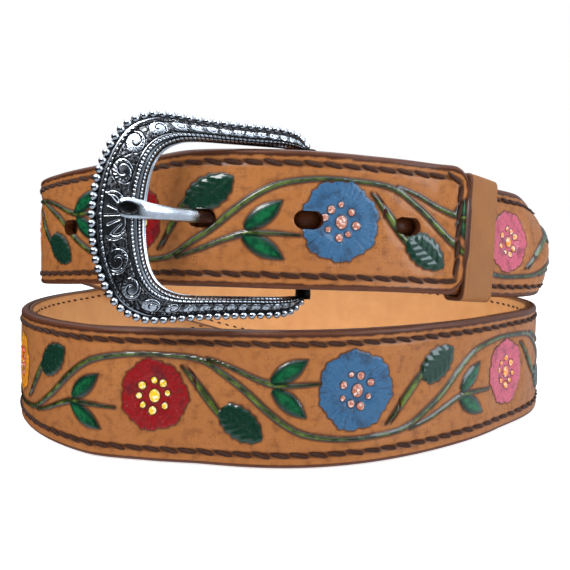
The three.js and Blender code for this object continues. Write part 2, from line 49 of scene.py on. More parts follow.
# %% [markdown]
# ## Where the strap runs
# A belt could be bent along a Blender curve with a modifier, but then every flower would follow
# the modifier's own stretching. Here the route is a short table of places, and a strap point is
# worked out from three numbers: how far round the coil, how far up across the width, and how
# deep under the grain side. Every later piece uses the same three numbers, so the pieces meet.

# %% The strap's sizes and its route
STRAP_WIDTH, OUTER, LINER, LAYER_GAP, LINER_INSET = 38.0, 2.6, 1.2, 0.25, 0.3
PACK = OUTER + LAYER_GAP + LINER
COIL_RADIUS, LAP_GAP = 100.0, 0.5
BEAD_RADIUS, SIDE_GAP, SHOULDER = 1.15, 1.5, 6.6
OPENING_HALF = STRAP_WIDTH / 2 + SIDE_GAP
FRAME_HALF = OPENING_HALF + SHOULDER
REST_GAP = 2.4
UPPER_RISE = STRAP_WIDTH / 2 + FRAME_HALF + BEAD_RADIUS + REST_GAP
HEEL_TURN, TIP_TURN = 3.4, 751.44
SHIFT = np.array([-1.426, 2.810, 0.0])
# a shallow arc's chord is shorter than the arc by this share of its bow squared
BOW_SHORTENING = 8 / 3

# turn, reach, layers, rise, lean, bow
ROUTE = np.array([
    (-12, 0.998, -1, 1.019, 0, 0), (3, 0.998, -1, 1, 0, 0), (12, 0.98, -1, 0.988, 0, 0),
    (22, 0.968, -1, 0.965, 0, 0), (32, 0.953, -0.9, 0.932, 0, 0), (42, 0.907, 0, 0.9, 0, 0),
    (52, 0.914, 0, 0.87, 0, 0), (59, 0.947, 0, 0.852, 0.5, 0.02), (66, 0.992, 0, 0.843, 3.5, 0.11),
    (73, 1.025, 0.07, 0.838, 7, 0.17), (84, 1.013, 0.9, 0.815, 9, 0.17),
    (100, 1.026, 1, 0.73, 9, 0.13), (135, 1.022, 1, 0.54, 4, 0.03), (165, 1.01, 1, 0.38, 0, 0),
    (210, 1.005, 1, 0.16, 0, 0), (255, 1.02, 1, 0, 0, 0), (291, 1.064, 0, 0, 0, 0),
    (325, 1.048, 0, 0, 0, 0), (337, 1.002, 0, 0, 0, 0), (347, 0.976, 0, 0, 0, 0),
    (360, 0.98, 0, 0, 0, 0), (393, 0.95, 0, 0, 0, 0), (407, 0.957, 0, 0, 0, 0),
    (426, 1.015, 0, 0, 0, 0), (440, 1.033, 0, 0, 0, 0), (465, 1.013, 0, 0, 0, 0),
    (520, 0.99, 0, 0, 0, 0), (548, 0.99, 0, 0.07, 0, 0), (576, 0.987, 0, 0.33, 0, 0),
    (600, 0.985, 0, 0.64, 0, 0), (622, 0.985, 0, 0.86, 0, 0), (640, 0.985, 0, 0.935, 0, 0),
    (655, 0.997, 0, 0.945, 0, 0), (668, 0.968, 0, 0.965, 0, 0), (680, 0.945, 0, 0.985, 0, 0),
    (694, 0.95, 0, 1, 0, 0), (706, 1.005, 0, 1.01, 0, 0), (720, 1.005, 0, 1, 0, 0),
    (736, 0.984, 0, 0.975, 0, 0), (745, 0.988, 0, 0.955, 0, 0), (753, 1.03, 0, 0.935, 0, 0),
    (762, 1.09, 0, 0.91, 0, 0),
])


def between(rows, column, place):
    """A smooth value between a table's rows, by its first column, that never overshoots."""
    x, y = rows[:, 0], rows[:, column]
    rate = np.diff(y) / np.diff(x)
    slope = np.zeros(len(x))
    before, after = rate[:-1], rate[1:]
    same = before * after > 0
    slope[1:-1][same] = 2 * before[same] * after[same] / (before + after)[same]
    i = np.clip(np.searchsorted(x, place, side="left") - 1, 0, len(x) - 2)
    span = x[i + 1] - x[i]
    t = np.clip((place - x[i]) / span, 0, 1)
    ends = (1 + 2 * t) * (1 - t) ** 2 * y[i] + (3 - 2 * t) * t ** 2 * y[i + 1]
    return ends + span * t * (1 - t) * ((1 - t) * slope[i] - t * slope[i + 1])


def unit(v):
    return v / np.linalg.norm(v, axis=-1, keepdims=True)


def lower_edge(turn):
    reach = COIL_RADIUS * between(ROUTE, 1, turn) + between(ROUTE, 2, turn) * (PACK + LAP_GAP)
    angle = np.radians(turn)
    height = UPPER_RISE * between(ROUTE, 3, turn)
    return np.stack([reach * np.sin(angle), -reach * np.cos(angle), height], -1)


def station(turn):
    """The strap's middle at some turns, its directions there, and how it bellies."""
    turn = np.atleast_1d(np.asarray(turn, float))
    along = unit(lower_edge(turn + 0.5) - lower_edge(turn - 0.5))
    flat = unit(np.stack([along[:, 1], -along[:, 0], 0 * turn], -1))
    rising = np.cross(flat, along)
    lean = -np.radians(between(ROUTE, 4, turn))[:, None]
    out = flat * np.cos(lean) - rising * np.sin(lean)
    up = rising * np.cos(lean) + flat * np.sin(lean)
    bow = between(ROUTE, 5, turn)
    height = 1 - BOW_SHORTENING * bow ** 2
    point = lower_edge(turn) + up * (height * STRAP_WIDTH / 2)[:, None]
    return {"point": point, "along": along, "out": out, "up": up, "height": height,
            "belly": bow * STRAP_WIDTH}


def on_strap(turn, across, depth):
    """Points of the strap in metres. turn, across and depth are arrays of one shape."""
    turn, across, depth = np.broadcast_arrays(np.asarray(turn, float), across, depth)
    rows, back = np.unique(turn, return_inverse=True)
    s = station(rows)
    back = back.reshape(turn.shape)
    share = 2 * across / STRAP_WIDTH
    outwards = s["belly"][back] * np.maximum(1 - share ** 2, 0) - depth
    point = s["point"][back] + s["out"][back] * outwards[..., None]
    point = point + s["up"][back] * (across * s["height"][back])[..., None]
    return (point + SHIFT) * MM


WALK = np.arange(-10, 762, 0.25)
STEPS = np.linalg.norm(np.diff(lower_edge(WALK), axis=0), axis=1)
LENGTHS = np.concatenate([[0], np.cumsum(STEPS)])
LENGTHS -= np.interp(HEEL_TURN, WALK, LENGTHS)


def length_at(turn):
    return np.interp(turn, WALK, LENGTHS)


def turn_at(length):
    return np.interp(length, LENGTHS, WALK)


TIP = float(length_at(TIP_TURN))
print(f"the strap is {TIP:.0f} mm long from the heel bar to its tip")

# %% [markdown]
# ## Meshes from grids
# Blender's own primitives would have to be bent and cut. A grid of points that is computed in
# one go gives even faces where the tooling needs them, and each point can carry numbers, such as
# its distance to the nearest flower, which the materials read back.

# %% A piece from points and faces
def piece(name, points, faces, materials, values, face_material=None):
    mesh = bpy.data.meshes.new(name)
    mesh.from_pydata(np.asarray(points).reshape(-1, 3).tolist(), [], faces)
    for key, value in values.items():
        value = np.asarray(value, float)
        wide = value.ndim > 1 and value.shape[-1] in (3, 4) and value.size > len(mesh.vertices)
        kind = {3: "FLOAT_VECTOR", 4: "FLOAT_COLOR"}[value.shape[-1]] if wide else "FLOAT"
        slot = {"FLOAT": "value", "FLOAT_VECTOR": "vector", "FLOAT_COLOR": "color"}[kind]
        mesh.attributes.new(key, kind, "POINT").data.foreach_set(slot, value.ravel())
    for material in materials:
        mesh.materials.append(material)
    if face_material is not None:
        mesh.polygons.foreach_set("material_index", np.asarray(face_material, int))
    mesh.polygons.foreach_set("use_smooth", np.ones(len(mesh.polygons), bool))
    mesh.update()
    made = bpy.data.objects.new(name, mesh)
    bpy.context.scene.collection.objects.link(made)
    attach(made, "root")
    print(f"{name}: {len(mesh.vertices)} points, {len(faces)} faces")
    return made


def grid_faces(rows, columns, round_rows=False, round_columns=False, first=0):
    """Quads of a grid whose points run column by column within each row."""
    i = np.arange(rows if round_rows else rows - 1)
    j = np.arange(columns if round_columns else columns - 1)
    i, j = np.meshgrid(i, j, indexing="ij")
    i2, j2 = (i + 1) % rows, (j + 1) % columns
    quads = np.stack([i * columns + j, i2 * columns + j, i2 * columns + j2, i * columns + j2], -1)
    return quads.reshape(-1, 4) + first


def ease(value, low, high):
    """0 below low, 1 above high, and smooth between."""
    t = np.clip((value - low) / (high - low), 0, 1)
    return t * t * (3 - 2 * t)


# %% [markdown]
# ## Materials
# Leather that was dyed, tooled and painted by hand is several finishes in one. Instead of a
# picture of them, each material asks the mesh how far away a motif's outline is, and changes
# colour where that distance crosses nought. The line stays sharp however close one looks.

# %% A short way to write material nodes
class Nodes:
    def __init__(self, name):
        self.material = bpy.data.materials.new(name)
        self.material.use_nodes = True
        self.tree = self.material.node_tree
        self.shader = self.tree.nodes["Principled BSDF"]

    def add(self, kind, inputs=None, **settings):
        node = self.tree.nodes.new(kind)
        for key, value in settings.items():
            setattr(node, key, value)
        for key, value in (inputs or {}).items():
            self.put(value, node.inputs[key])
        return node

    def put(self, value, socket):
        if isinstance(value, bpy.types.NodeSocket):
            self.tree.links.new(value, socket)
        else:
            socket.default_value = value

    def number(self, name):
        return self.add("ShaderNodeAttribute", attribute_name=name).outputs["Fac"]

    def colour(self, name):
        return self.add("ShaderNodeAttribute", attribute_name=name).outputs["Color"]

    def place(self):
        return self.add("ShaderNodeAttribute", attribute_name="place").outputs["Vector"]

    def steps(self, value, low, high, to_low=0.0, to_high=1.0):
        given = {"Value": value, "From Min": low, "From Max": high,
                 "To Min": to_low, "To Max": to_high}
        return self.add("ShaderNodeMapRange", given, interpolation_type="SMOOTHSTEP").outputs[0]

    def within(self, name):
        """1 inside a motif's outline and 0 outside, from the distance that the mesh carries."""
        return self.steps(self.number(name), -0.12, 0.12, 1, 0)

    def mix(self, share, a, b):
        node = self.add("ShaderNodeMix", data_type="RGBA")
        self.put(share, node.inputs[0])
        self.put(a, node.inputs[6])
        self.put(b, node.inputs[7])
        return node.outputs[2]

    def sums(self, operation, a, b=0.0):
        return self.add("ShaderNodeMath", {0: a, 1: b}, operation=operation).outputs[0]

    def noise(self, scale, detail, where=None):
        given = {"Vector": where or self.place(), "Scale": scale, "Detail": detail,
                 "Roughness": 0.55}
        return self.add("ShaderNodeTexNoise", given).outputs["Fac"]

    def patches(self, base, colour, scale, detail, low, high, share):
        """The base with soft patches of another colour, as strong as the share says."""
        return self.mix(self.steps(self.noise(scale, detail), low, high, 0, share), base, colour)

    def cells(self, randomness=1.0):
        """The distance to the middle of the nearest cell, with cells a millimetre wide."""
        given = {"Vector": self.place(), "Scale": 1.0, "Randomness": randomness}
        return self.add("ShaderNodeTexVoronoi", given).outputs["Distance"]

    def bump(self, height, distance, strength):
        given = {"Height": height, "Distance": distance, "Strength": strength}
        return self.add("ShaderNodeBump", given).outputs["Normal"]

    def finish(self, **given):
        for key, value in given.items():
            self.put(value, self.shader.inputs[key.replace("_", " ")])
        return self.material


def paint(red, green, blue):
    """A colour as it looks on a screen, 0 to 255, turned into the values that light uses."""
    linear = [(c / 255 / 12.92) if c <= 10 else ((c / 255 + 0.055) / 1.055) ** 2.4
              for c in (red, green, blue)]
    return (*linear, 1.0)


# %% The colours of the leather and the paints
TAN, TAN_LIGHT, TAN_DEEP = paint(147, 88, 41), paint(170, 108, 55), paint(92, 46, 19)
# the cut colour is the stain of the carved swoosh cuts, and also painted shade beside the motifs'
# outlines and in the stitch groove
EDGE_BROWN, CUT_STAIN_AND_SHADE = paint(70, 34, 15), paint(58, 26, 11)
PETAL_PAINTS = {
    "blue": paint(52, 92, 128), "red": paint(132, 16, 20), "pink": paint(188, 88, 108),
    "yellow": paint(220, 140, 22),
}
SEED_PAINTS = {
    "blue": paint(172, 104, 82), "red": paint(228, 188, 16), "pink": paint(228, 140, 30),
    "yellow": paint(200, 70, 20),
}

# %% [markdown]
# ## The tooling
# A leather carver cuts the outline of each flower, bevels the ground down beside the cut and
# then stamps the ground with rows of small marks. So each motif here is an outline with a
# distance, positive outside it: the ground sinks near the outline, and the motif is crowned.
# Flowers stand at nearly even steps along the strap, and between two of them runs the same set
# of vine, branch and leaves, turned over each time, as in traditional floral carving.

# %% The flowers in order, and the set of stems and leaves between two of them
# turn, side of the vine that follows, paint, radius, height over the strap's middle
FLOWERS = [
    (20, 1, "yellow", 10.4, 0), (57, -1, "pink", 10.6, 1), (97.5, 1, "yellow", 10.2, 0),
    (138, -1, "red", 10.4, 1), (178.5, 1, "blue", 10.8, 0), (219, -1, "pink", 10.6, 1),
    (259.5, 1, "blue", 10.6, 0), (300, -1, "yellow", 9.6, 1.5), (338, 1, "red", 9.9, 0),
    (372, -1, "blue", 11.0, 2), (411, 1, "pink", 10.6, -0.4), (450.8, -1, "yellow", 10.4, 1),
    (490.6, 1, "red", 10.4, 0), (530.5, -1, "blue", 10.8, 1), (570.3, 1, "pink", 10.4, 0),
    (610.2, -1, "blue", 10.6, 1), (650, 1, "yellow", 10.2, 0), (692, -1, "red", 10.2, 1),
    (728.4, 1, "blue", 11.0, 0), (766, -1, "pink", 10.4, 1),
]
# the set is drawn for flowers this far apart, in mm, and stretched to fit
UNIT = 57.0
VINE = [(0, 11.6), (13, 10.6), (20.9, 6.2), (26.2, 2.3), (31.6, -2.7), (36.9, -6.9), (42.2, -9.6),
        (50, -11.2), (57, -11.6)]
VINE_WIDTHS = [0.5, 0.6, 0.7, 0.78, 0.8, 0.75, 0.7, 0.6, 0.5]
BRANCH = [(15.5, 10.9), (22.2, 8.7), (28.9, 5.8), (34.2, 4.1), (40, 3.9), (47, 4.3)]
BRANCH_WIDTHS = [0.3, 0.5, 0.6, 0.75, 0.5, 0.3]
STALK = [(8.2, 8.4), (11.4, 5.0), (14.8, 0.6), (18.0, -3.4), (19.6, -5.4)]
STALK_WIDTHS = [0.2, 0.75, 1.05, 0.9, 0.5]
CUT = [(12.2, 1.6), (11.8, 5.4), (9.4, 9.0)]
CUT_WIDTHS = [0.15, 0.4, 0.15]
# along, across, angle, length, width
BRIGHT_LEAVES = [(38.6, 8.0, 32, 11.6, 4.9), (38.5, -1.3, -42, 11.8, 4.7)]
DARK_LEAF = (25.4, -7.4, -38, 13.6, 8.5)


def smooth_line(points, count):
    """Points on a smooth curve through a few given ones."""
    points = np.asarray(points, float)
    ends = np.vstack([2 * points[0] - points[1], points, 2 * points[-1] - points[-2]])
    t = np.linspace(0, len(points) - 1 - 1e-9, count)
    i = t.astype(int)
    t = (t - i)[:, None]
    a, b, c, d = ends[i], ends[i + 1], ends[i + 2], ends[i + 3]
    return 0.5 * (2 * b + (c - a) * t + (2 * a - 5 * b + 4 * c - d) * t ** 2
                  + (3 * b - a - 3 * c + d) * t ** 3)


def to_stem(s, v, points, widths):
    """How far points are from a stem's outline."""
    line = smooth_line(np.column_stack([points, widths]), 36)
    best = np.full(s.shape, np.inf)
    for a, b in zip(line[:-1], line[1:]):
        run = b[:2] - a[:2]
        t = np.clip(((s - a[0]) * run[0] + (v - a[1]) * run[1]) / (run @ run), 0, 1)
        half = a[2] + t * (b[2] - a[2])
        best = np.minimum(best, np.hypot(s - a[0] - t * run[0], v - a[1] - t * run[1]) - half)
    return best


def to_leaf(s, v, leaf, point=1.5):
    """How far points are from a leaf's outline, and where they are along and across it."""
    x, y, angle, length, width = leaf
    c, d = math.cos(math.radians(angle)), math.sin(math.radians(angle))
    a, b = (s - x) * c + (v - y) * d, (v - y) * c - (s - x) * d
    share = np.clip(np.abs(a + 0.08 * length) / (0.56 * length), 0, 1)
    half = width / 2 * (1 - share ** 2.2) ** (0.8 * point)
    beyond = np.maximum(np.abs(a + 0.03 * length) - length / 2, 0)
    gap = np.where(beyond > 0, np.hypot(beyond, b), (np.abs(b) - half) * 0.85)
    return gap, a / length, b


# %% Distances and relief for a stretch of strap
# a distance in mm that stands for nowhere near
FAR = 9.0


def tooling(s, v):
    """Distances to the motifs and the height of the tooled ground, for a grid in mm."""
    shape = s.shape
    out = {k: np.full(shape, FAR) for k in ("flower", "leaf", "dark", "vine", "seed", "cut")}
    out["flute"] = np.zeros(shape)
    out["petal"] = np.tile(PETAL_PAINTS["blue"], shape + (1,))
    out["pip"] = np.tile(SEED_PAINTS["blue"], shape + (1,))
    relief = np.zeros(shape)
    starts = [float(length_at(flower[0])) for flower in FLOWERS]
    for k, (turn, side, paint_name, radius, offset) in enumerate(FLOWERS):
        near = slice(*np.searchsorted(s[:, 0], (starts[k] - 16, starts[k] + 16)))
        if near.start != near.stop:
            x, y = s[near] - starts[k], v[near] - offset
            r, angle = np.hypot(x, y), np.arctan2(y, x)
            rim = radius * (1 + 0.03 * np.sin(7 * angle + k) + 0.018 * np.sin(17 * angle + 2 * k)
                            + 0.012 * np.sin(31 * angle + 3 * k) + 0.02 * np.sin(3 * angle + 5 * k))
            gap = r - rim
            inside = gap < 4
            out["flower"][near] = np.minimum(out["flower"][near], gap)
            wave = angle + 0.06 * np.sin(3 * angle + k) + 0.02 * np.sin(11 * angle + 2 * k)
            flute = np.abs(np.sin(21 * wave + 0.2 * np.sin(r)))
            fade = ease(r, 3.2, 6.5) * ease(-gap, -0.2, 0.8)
            out["flute"][near] = np.where(inside, (1 - flute) * ease(r, 2.4, 5), out["flute"][near])
            relief[near] += fade * (0.2 * flute ** 0.5 - 0.1) - 0.12 * ease(r, 5, 10) * (gap < 0)
            relief[near] -= 0.45 * ease(6.4 - r, 0, 2)
            seeds = [(0.3, -0.2, 1.6, 1.15)]
            for m in range(8):
                a = m * math.pi / 4 + 0.3 * k + 0.12 * math.sin(5 * m + k)
                reach = 4.4 + 0.3 * math.sin(3 * m + 2 * k)
                size = 0.95 + 0.18 * math.sin(2 * m + k)
                seeds.append((reach * math.cos(a), reach * math.sin(a), size, 1))
            for sx, sy, size, tall in seeds:
                dot = np.hypot(x - sx, (y - sy) / tall)
                out["seed"][near] = np.minimum(out["seed"][near], dot - size)
                relief[near] += 0.7 * np.sqrt(np.maximum(1 - (dot / size) ** 2, 0))
            out["petal"][near] = PETAL_PAINTS[paint_name]
            out["pip"][near] = SEED_PAINTS[paint_name]
        if k + 1 == len(FLOWERS):
            continue
        grow = (starts[k + 1] - starts[k]) / UNIT
        near = slice(*np.searchsorted(s[:, 0], (starts[k] - 4, starts[k + 1] + 4)))
        if near.start == near.stop:
            continue
        x, y = (s[near] - starts[k]) / grow, v[near] * side
        vine, branch, stalk, cut = [to_stem(x, y, line, widths) for line, widths in (
            (VINE, VINE_WIDTHS), (BRANCH, BRANCH_WIDTHS), (STALK, STALK_WIDTHS), (CUT, CUT_WIDTHS))]
        clear = ease(out["flower"][near], -0.1, 0.15)
        vine = np.where(clear > 0.5, np.minimum.reduce([vine, branch, stalk]), FAR)
        out["vine"][near] = np.minimum(out["vine"][near], vine)
        out["cut"][near] = np.minimum(out["cut"][near], np.where(clear > 0.5, cut, FAR))
        relief[near] += 0.3 * ease(-vine, 0, 0.8) - 0.6 * ease(-cut, -0.25, 0.5) * clear
        for leaf in BRIGHT_LEAVES:
            gap, a, b = to_leaf(x, y, leaf)
            out["leaf"][near] = np.minimum(out["leaf"][near], gap)
            rib = 0.16 * np.exp(-(b / 0.3) ** 2) * (gap < -0.4)
            relief[near] += 0.34 * ease(-gap, 0, 1.4) - rib
        gap, a, b = to_leaf(x, y, DARK_LEAF, 1.0)
        gap = gap + 0.16 * np.sin(a * 34 + 1.5 * np.sign(b))
        out["dark"][near] = np.minimum(out["dark"][near], gap)
        veins = np.abs(np.sin(a * 20 + np.abs(b) * 1.1)) ** 6 + np.exp(-(b / 0.28) ** 2)
        relief[near] += 0.4 * ease(-gap, 0, 1.2) - 0.2 * np.clip(veins, 0, 1) * (gap < -0.4)
    ground = np.minimum.reduce([out["flower"], out["leaf"], out["dark"], out["vine"]])
    relief -= 0.62 * np.exp(-np.maximum(ground, 0) / 1.3) * ease(ground, -0.15, 0.3)
    out["ground"] = ground
    return out, relief


# %% [markdown]
# ## The strap's grain side
# The grain side is a fine grid: half a millimetre between points where the camera comes close,
# and coarser at the back. Its long sides roll over into the burnished edge. The five punched
# holes are cut into the grid: points near a hole's outline are moved onto it, the faces inside
# go, and a short wall lines it. The solids' holes go right through. Here a thin dark skin closes
# each one just inside the strap's back: it is painted shade, for the shadow deep inside the hole.

# %% The painted and the plain parts of the strap in one material
STITCH_IN = 3.75


def tooled_leather():
    n = Nodes("tooled_leather")
    edge = n.number("edge")
    ground = n.number("ground")
    base = n.mix(n.noise(0.06, 4), TAN, TAN_LIGHT)
    base = n.patches(base, TAN_DEEP, 0.35, 5, 0.45, 0.75, 0.55)
    base = n.patches(base, TAN_DEEP, 2.2, 3, 0.5, 0.8, 0.2)
    stamped = n.sums("MULTIPLY", n.steps(ground, 0.2, 0.8), n.steps(edge, 5.2, 6.4))
    stamped = n.sums("MULTIPLY", stamped, n.steps(n.noise(0.12, 3), 0.4, 0.62))
    marks = n.sums("MULTIPLY", n.steps(n.cells(0.4), 0.12, 0.42, 1, 0), stamped)
    base = n.mix(n.sums("MULTIPLY", marks, 0.28), base, TAN_DEEP)
    # painted shade: the ground darkens where it is bevelled down into the cut round each motif
    base = n.mix(n.steps(ground, 0.0, 0.9, 0.92, 0), base, CUT_STAIN_AND_SHADE)
    stem = n.mix(n.steps(n.noise(0.3, 3), 0.35, 0.65), paint(30, 42, 18), paint(92, 108, 38))
    stem = n.mix(n.steps(n.number("vine"), -0.6, -0.1, 0, 0.85), stem, paint(26, 28, 12))
    base = n.mix(n.within("vine"), base, stem)
    green = n.mix(n.steps(n.number("leaf"), -1.5, -0.35), paint(12, 94, 54), paint(8, 38, 24))
    green = n.patches(green, paint(4, 50, 34), 0.4, 3, 0.4, 0.65, 0.8)
    base = n.mix(n.within("leaf"), base, green)
    dull = n.mix(n.noise(0.9, 3), paint(6, 30, 22), paint(16, 60, 42))
    base = n.mix(n.within("dark"), base, dull)
    base = n.mix(n.steps(n.number("cut"), -0.1, 0.2, 1, 0), base, CUT_STAIN_AND_SHADE)
    petal = n.mix(n.sums("MULTIPLY", n.steps(n.number("flute"), 0.6, 0.97), 0.78),
                  n.colour("petal"), (0.015, 0.01, 0.012, 1))
    petal = n.patches(petal, (0.02, 0.015, 0.02, 1), 0.22, 3, 0.48, 0.72, 0.5)
    petal = n.patches(petal, (0.8, 0.75, 0.75, 1), 1.3, 4, 0.62, 0.8, 0.22)
    base = n.mix(n.within("flower"), base, petal)
    seed = n.number("seed")
    base = n.mix(n.steps(seed, 0.0, 0.6, 0.9, 0), base, (0.02, 0.012, 0.01, 1))
    # painted highlight: near-white glints painted in patches onto every raised seed
    painted_glint = n.steps(n.noise(1.1, 3), 0.5, 0.62)
    pale = n.mix(0.6, n.colour("pip"), (1, 1, 1, 1))
    pip = n.mix(n.sums("MULTIPLY", painted_glint, 0.85), n.colour("pip"), pale)
    pip = n.mix(n.steps(n.noise(1.4, 3), 0.3, 0.42, 0.7, 0), pip, (0.03, 0.012, 0.008, 1))
    base = n.mix(n.steps(seed, -0.12, 0.1, 1, 0), base, pip)
    # the dark margin is the edge dye, and on the lower side it is partly painted shade
    dyed_and_shaded = n.sums("ADD", n.number("edge_dye_and_shade"), n.steps(n.noise(0.3, 3), 0.2, 0.8, -0.3, 0.3))
    base = n.mix(n.steps(dyed_and_shaded, -0.35, 0.35, 1, 0), base, EDGE_BROWN)
    # painted shade: the colour darkens along the groove that the stitches lie in
    groove = n.steps(n.sums("ABSOLUTE", n.sums("SUBTRACT", edge, STITCH_IN)), 0.3, 1.3, 0.75, 0)
    base = n.mix(groove, base, CUT_STAIN_AND_SHADE)
    uneven = n.steps(n.noise(0.5, 4), 0.3, 0.7, -0.05, 0.1)
    shine = n.sums("ADD", n.steps(ground, -0.1, 0.2, 0.24, 0.4), uneven)
    grain = n.sums("MULTIPLY", n.noise(2.5, 4), 0.4)
    height = n.sums("ADD", n.sums("MULTIPLY", marks, -1.0), grain)
    lacquer = 0.0
    for name in ("vine", "leaf", "dark", "seed"):
        lacquer = n.sums("MAXIMUM", lacquer, n.steps(n.number(name), -0.15, 0.25, 1, 0))
    return n.finish(Base_Color=base, Roughness=shine, Normal=n.bump(height, 0.00018, 0.6),
                    Coat_Weight=n.steps(lacquer, 0, 1, 0.18, 0.9), Coat_Roughness=0.1,
                    Specular_IOR_Level=0.25)


def edge_leather():
    n = Nodes("burnished_edge")
    base = n.mix(n.noise(0.4, 4), EDGE_BROWN, paint(98, 54, 32))
    base = n.patches(base, paint(130, 80, 48), 2.4, 4, 0.55, 0.75, 0.6)
    from_seam = n.sums("ABSOLUTE", n.sums("SUBTRACT", n.number("depth"), OUTER + 0.1))
    base = n.mix(n.steps(from_seam, 0.05, 0.35, 0.9, 0), base, paint(24, 12, 8))
    return n.finish(Base_Color=base, Roughness=0.36, Normal=n.bump(n.noise(1.8, 4), 0.0002, 0.5),
                    Specular_IOR_Level=0.3)


def plain_leather(name, light, deep):
    n = Nodes(name)
    base = n.mix(n.noise(0.09, 5), light, deep)
    base = n.patches(base, deep, 0.9, 5, 0.5, 0.8, 0.4)
    base = n.mix(n.steps(n.number("edge"), 0.3, 1.1, 0.85, 0), base, EDGE_BROWN)
    height = n.sums("ADD", n.cells(), n.noise(2.2, 4))
    return n.finish(Base_Color=base, Roughness=0.5, Normal=n.bump(height, 0.00012, 0.4),
                    Specular_IOR_Level=0.3)


TOOLED = tooled_leather()
BURNISHED = edge_leather()
LINING = plain_leather("lining_leather", paint(216, 164, 108), paint(186, 128, 78))
FLESH = plain_leather("flesh_leather", paint(170, 116, 70), paint(140, 90, 52))
KEEPER = plain_leather("keeper_leather", paint(158, 103, 51), paint(134, 82, 40))

# %% Holes, the tip's outline and the width there
HOLE_LENGTH, HOLE_WIDTH, HOLE_SPACING, LAST_HOLE_TO_TIP = 8.0, 5.0, 29.4, 19.9
HOLE_PLACES = [TIP - LAST_HOLE_TO_TIP - HOLE_SPACING * i for i in range(5)]
TIP_CORNER, TIP_BULGE = 5.5, 1.2
TIP_LENGTH = TIP_CORNER + TIP_BULGE


def to_hole(s, v):
    """Distance to the nearest hole's outline, negative inside it."""
    straight = (HOLE_LENGTH - HOLE_WIDTH) / 2
    gaps = [np.hypot(np.maximum(np.abs(s - place) - straight, 0), v) - HOLE_WIDTH / 2
            for place in HOLE_PLACES]
    return np.minimum.reduce(gaps)


def half_width(s):
    half = STRAP_WIDTH / 2
    left = np.maximum(TIP - s, 0)
    inside = np.clip(TIP_LENGTH - left, 0, TIP_CORNER)
    rounded = half - TIP_CORNER + np.sqrt(np.maximum(TIP_CORNER ** 2 - inside ** 2, 0))
    blunt = (half - TIP_CORNER) * np.sqrt(0.3 + 0.7 * np.clip(left / TIP_BULGE, 0, 1))
    return np.where(left > TIP_LENGTH, half, np.where(left > TIP_BULGE, rounded, blunt))


# %% One stretch of the grain side with its rolled edges
ROLL = 1.25
# near the fold the tongue comes through a slot, this long and twice this wide
SLOT_LENGTH, SLOT_HALF = 10, 5
# the last millimetres before the tip have finer rows
FINE_END, FINE_ROWS = 8, 30


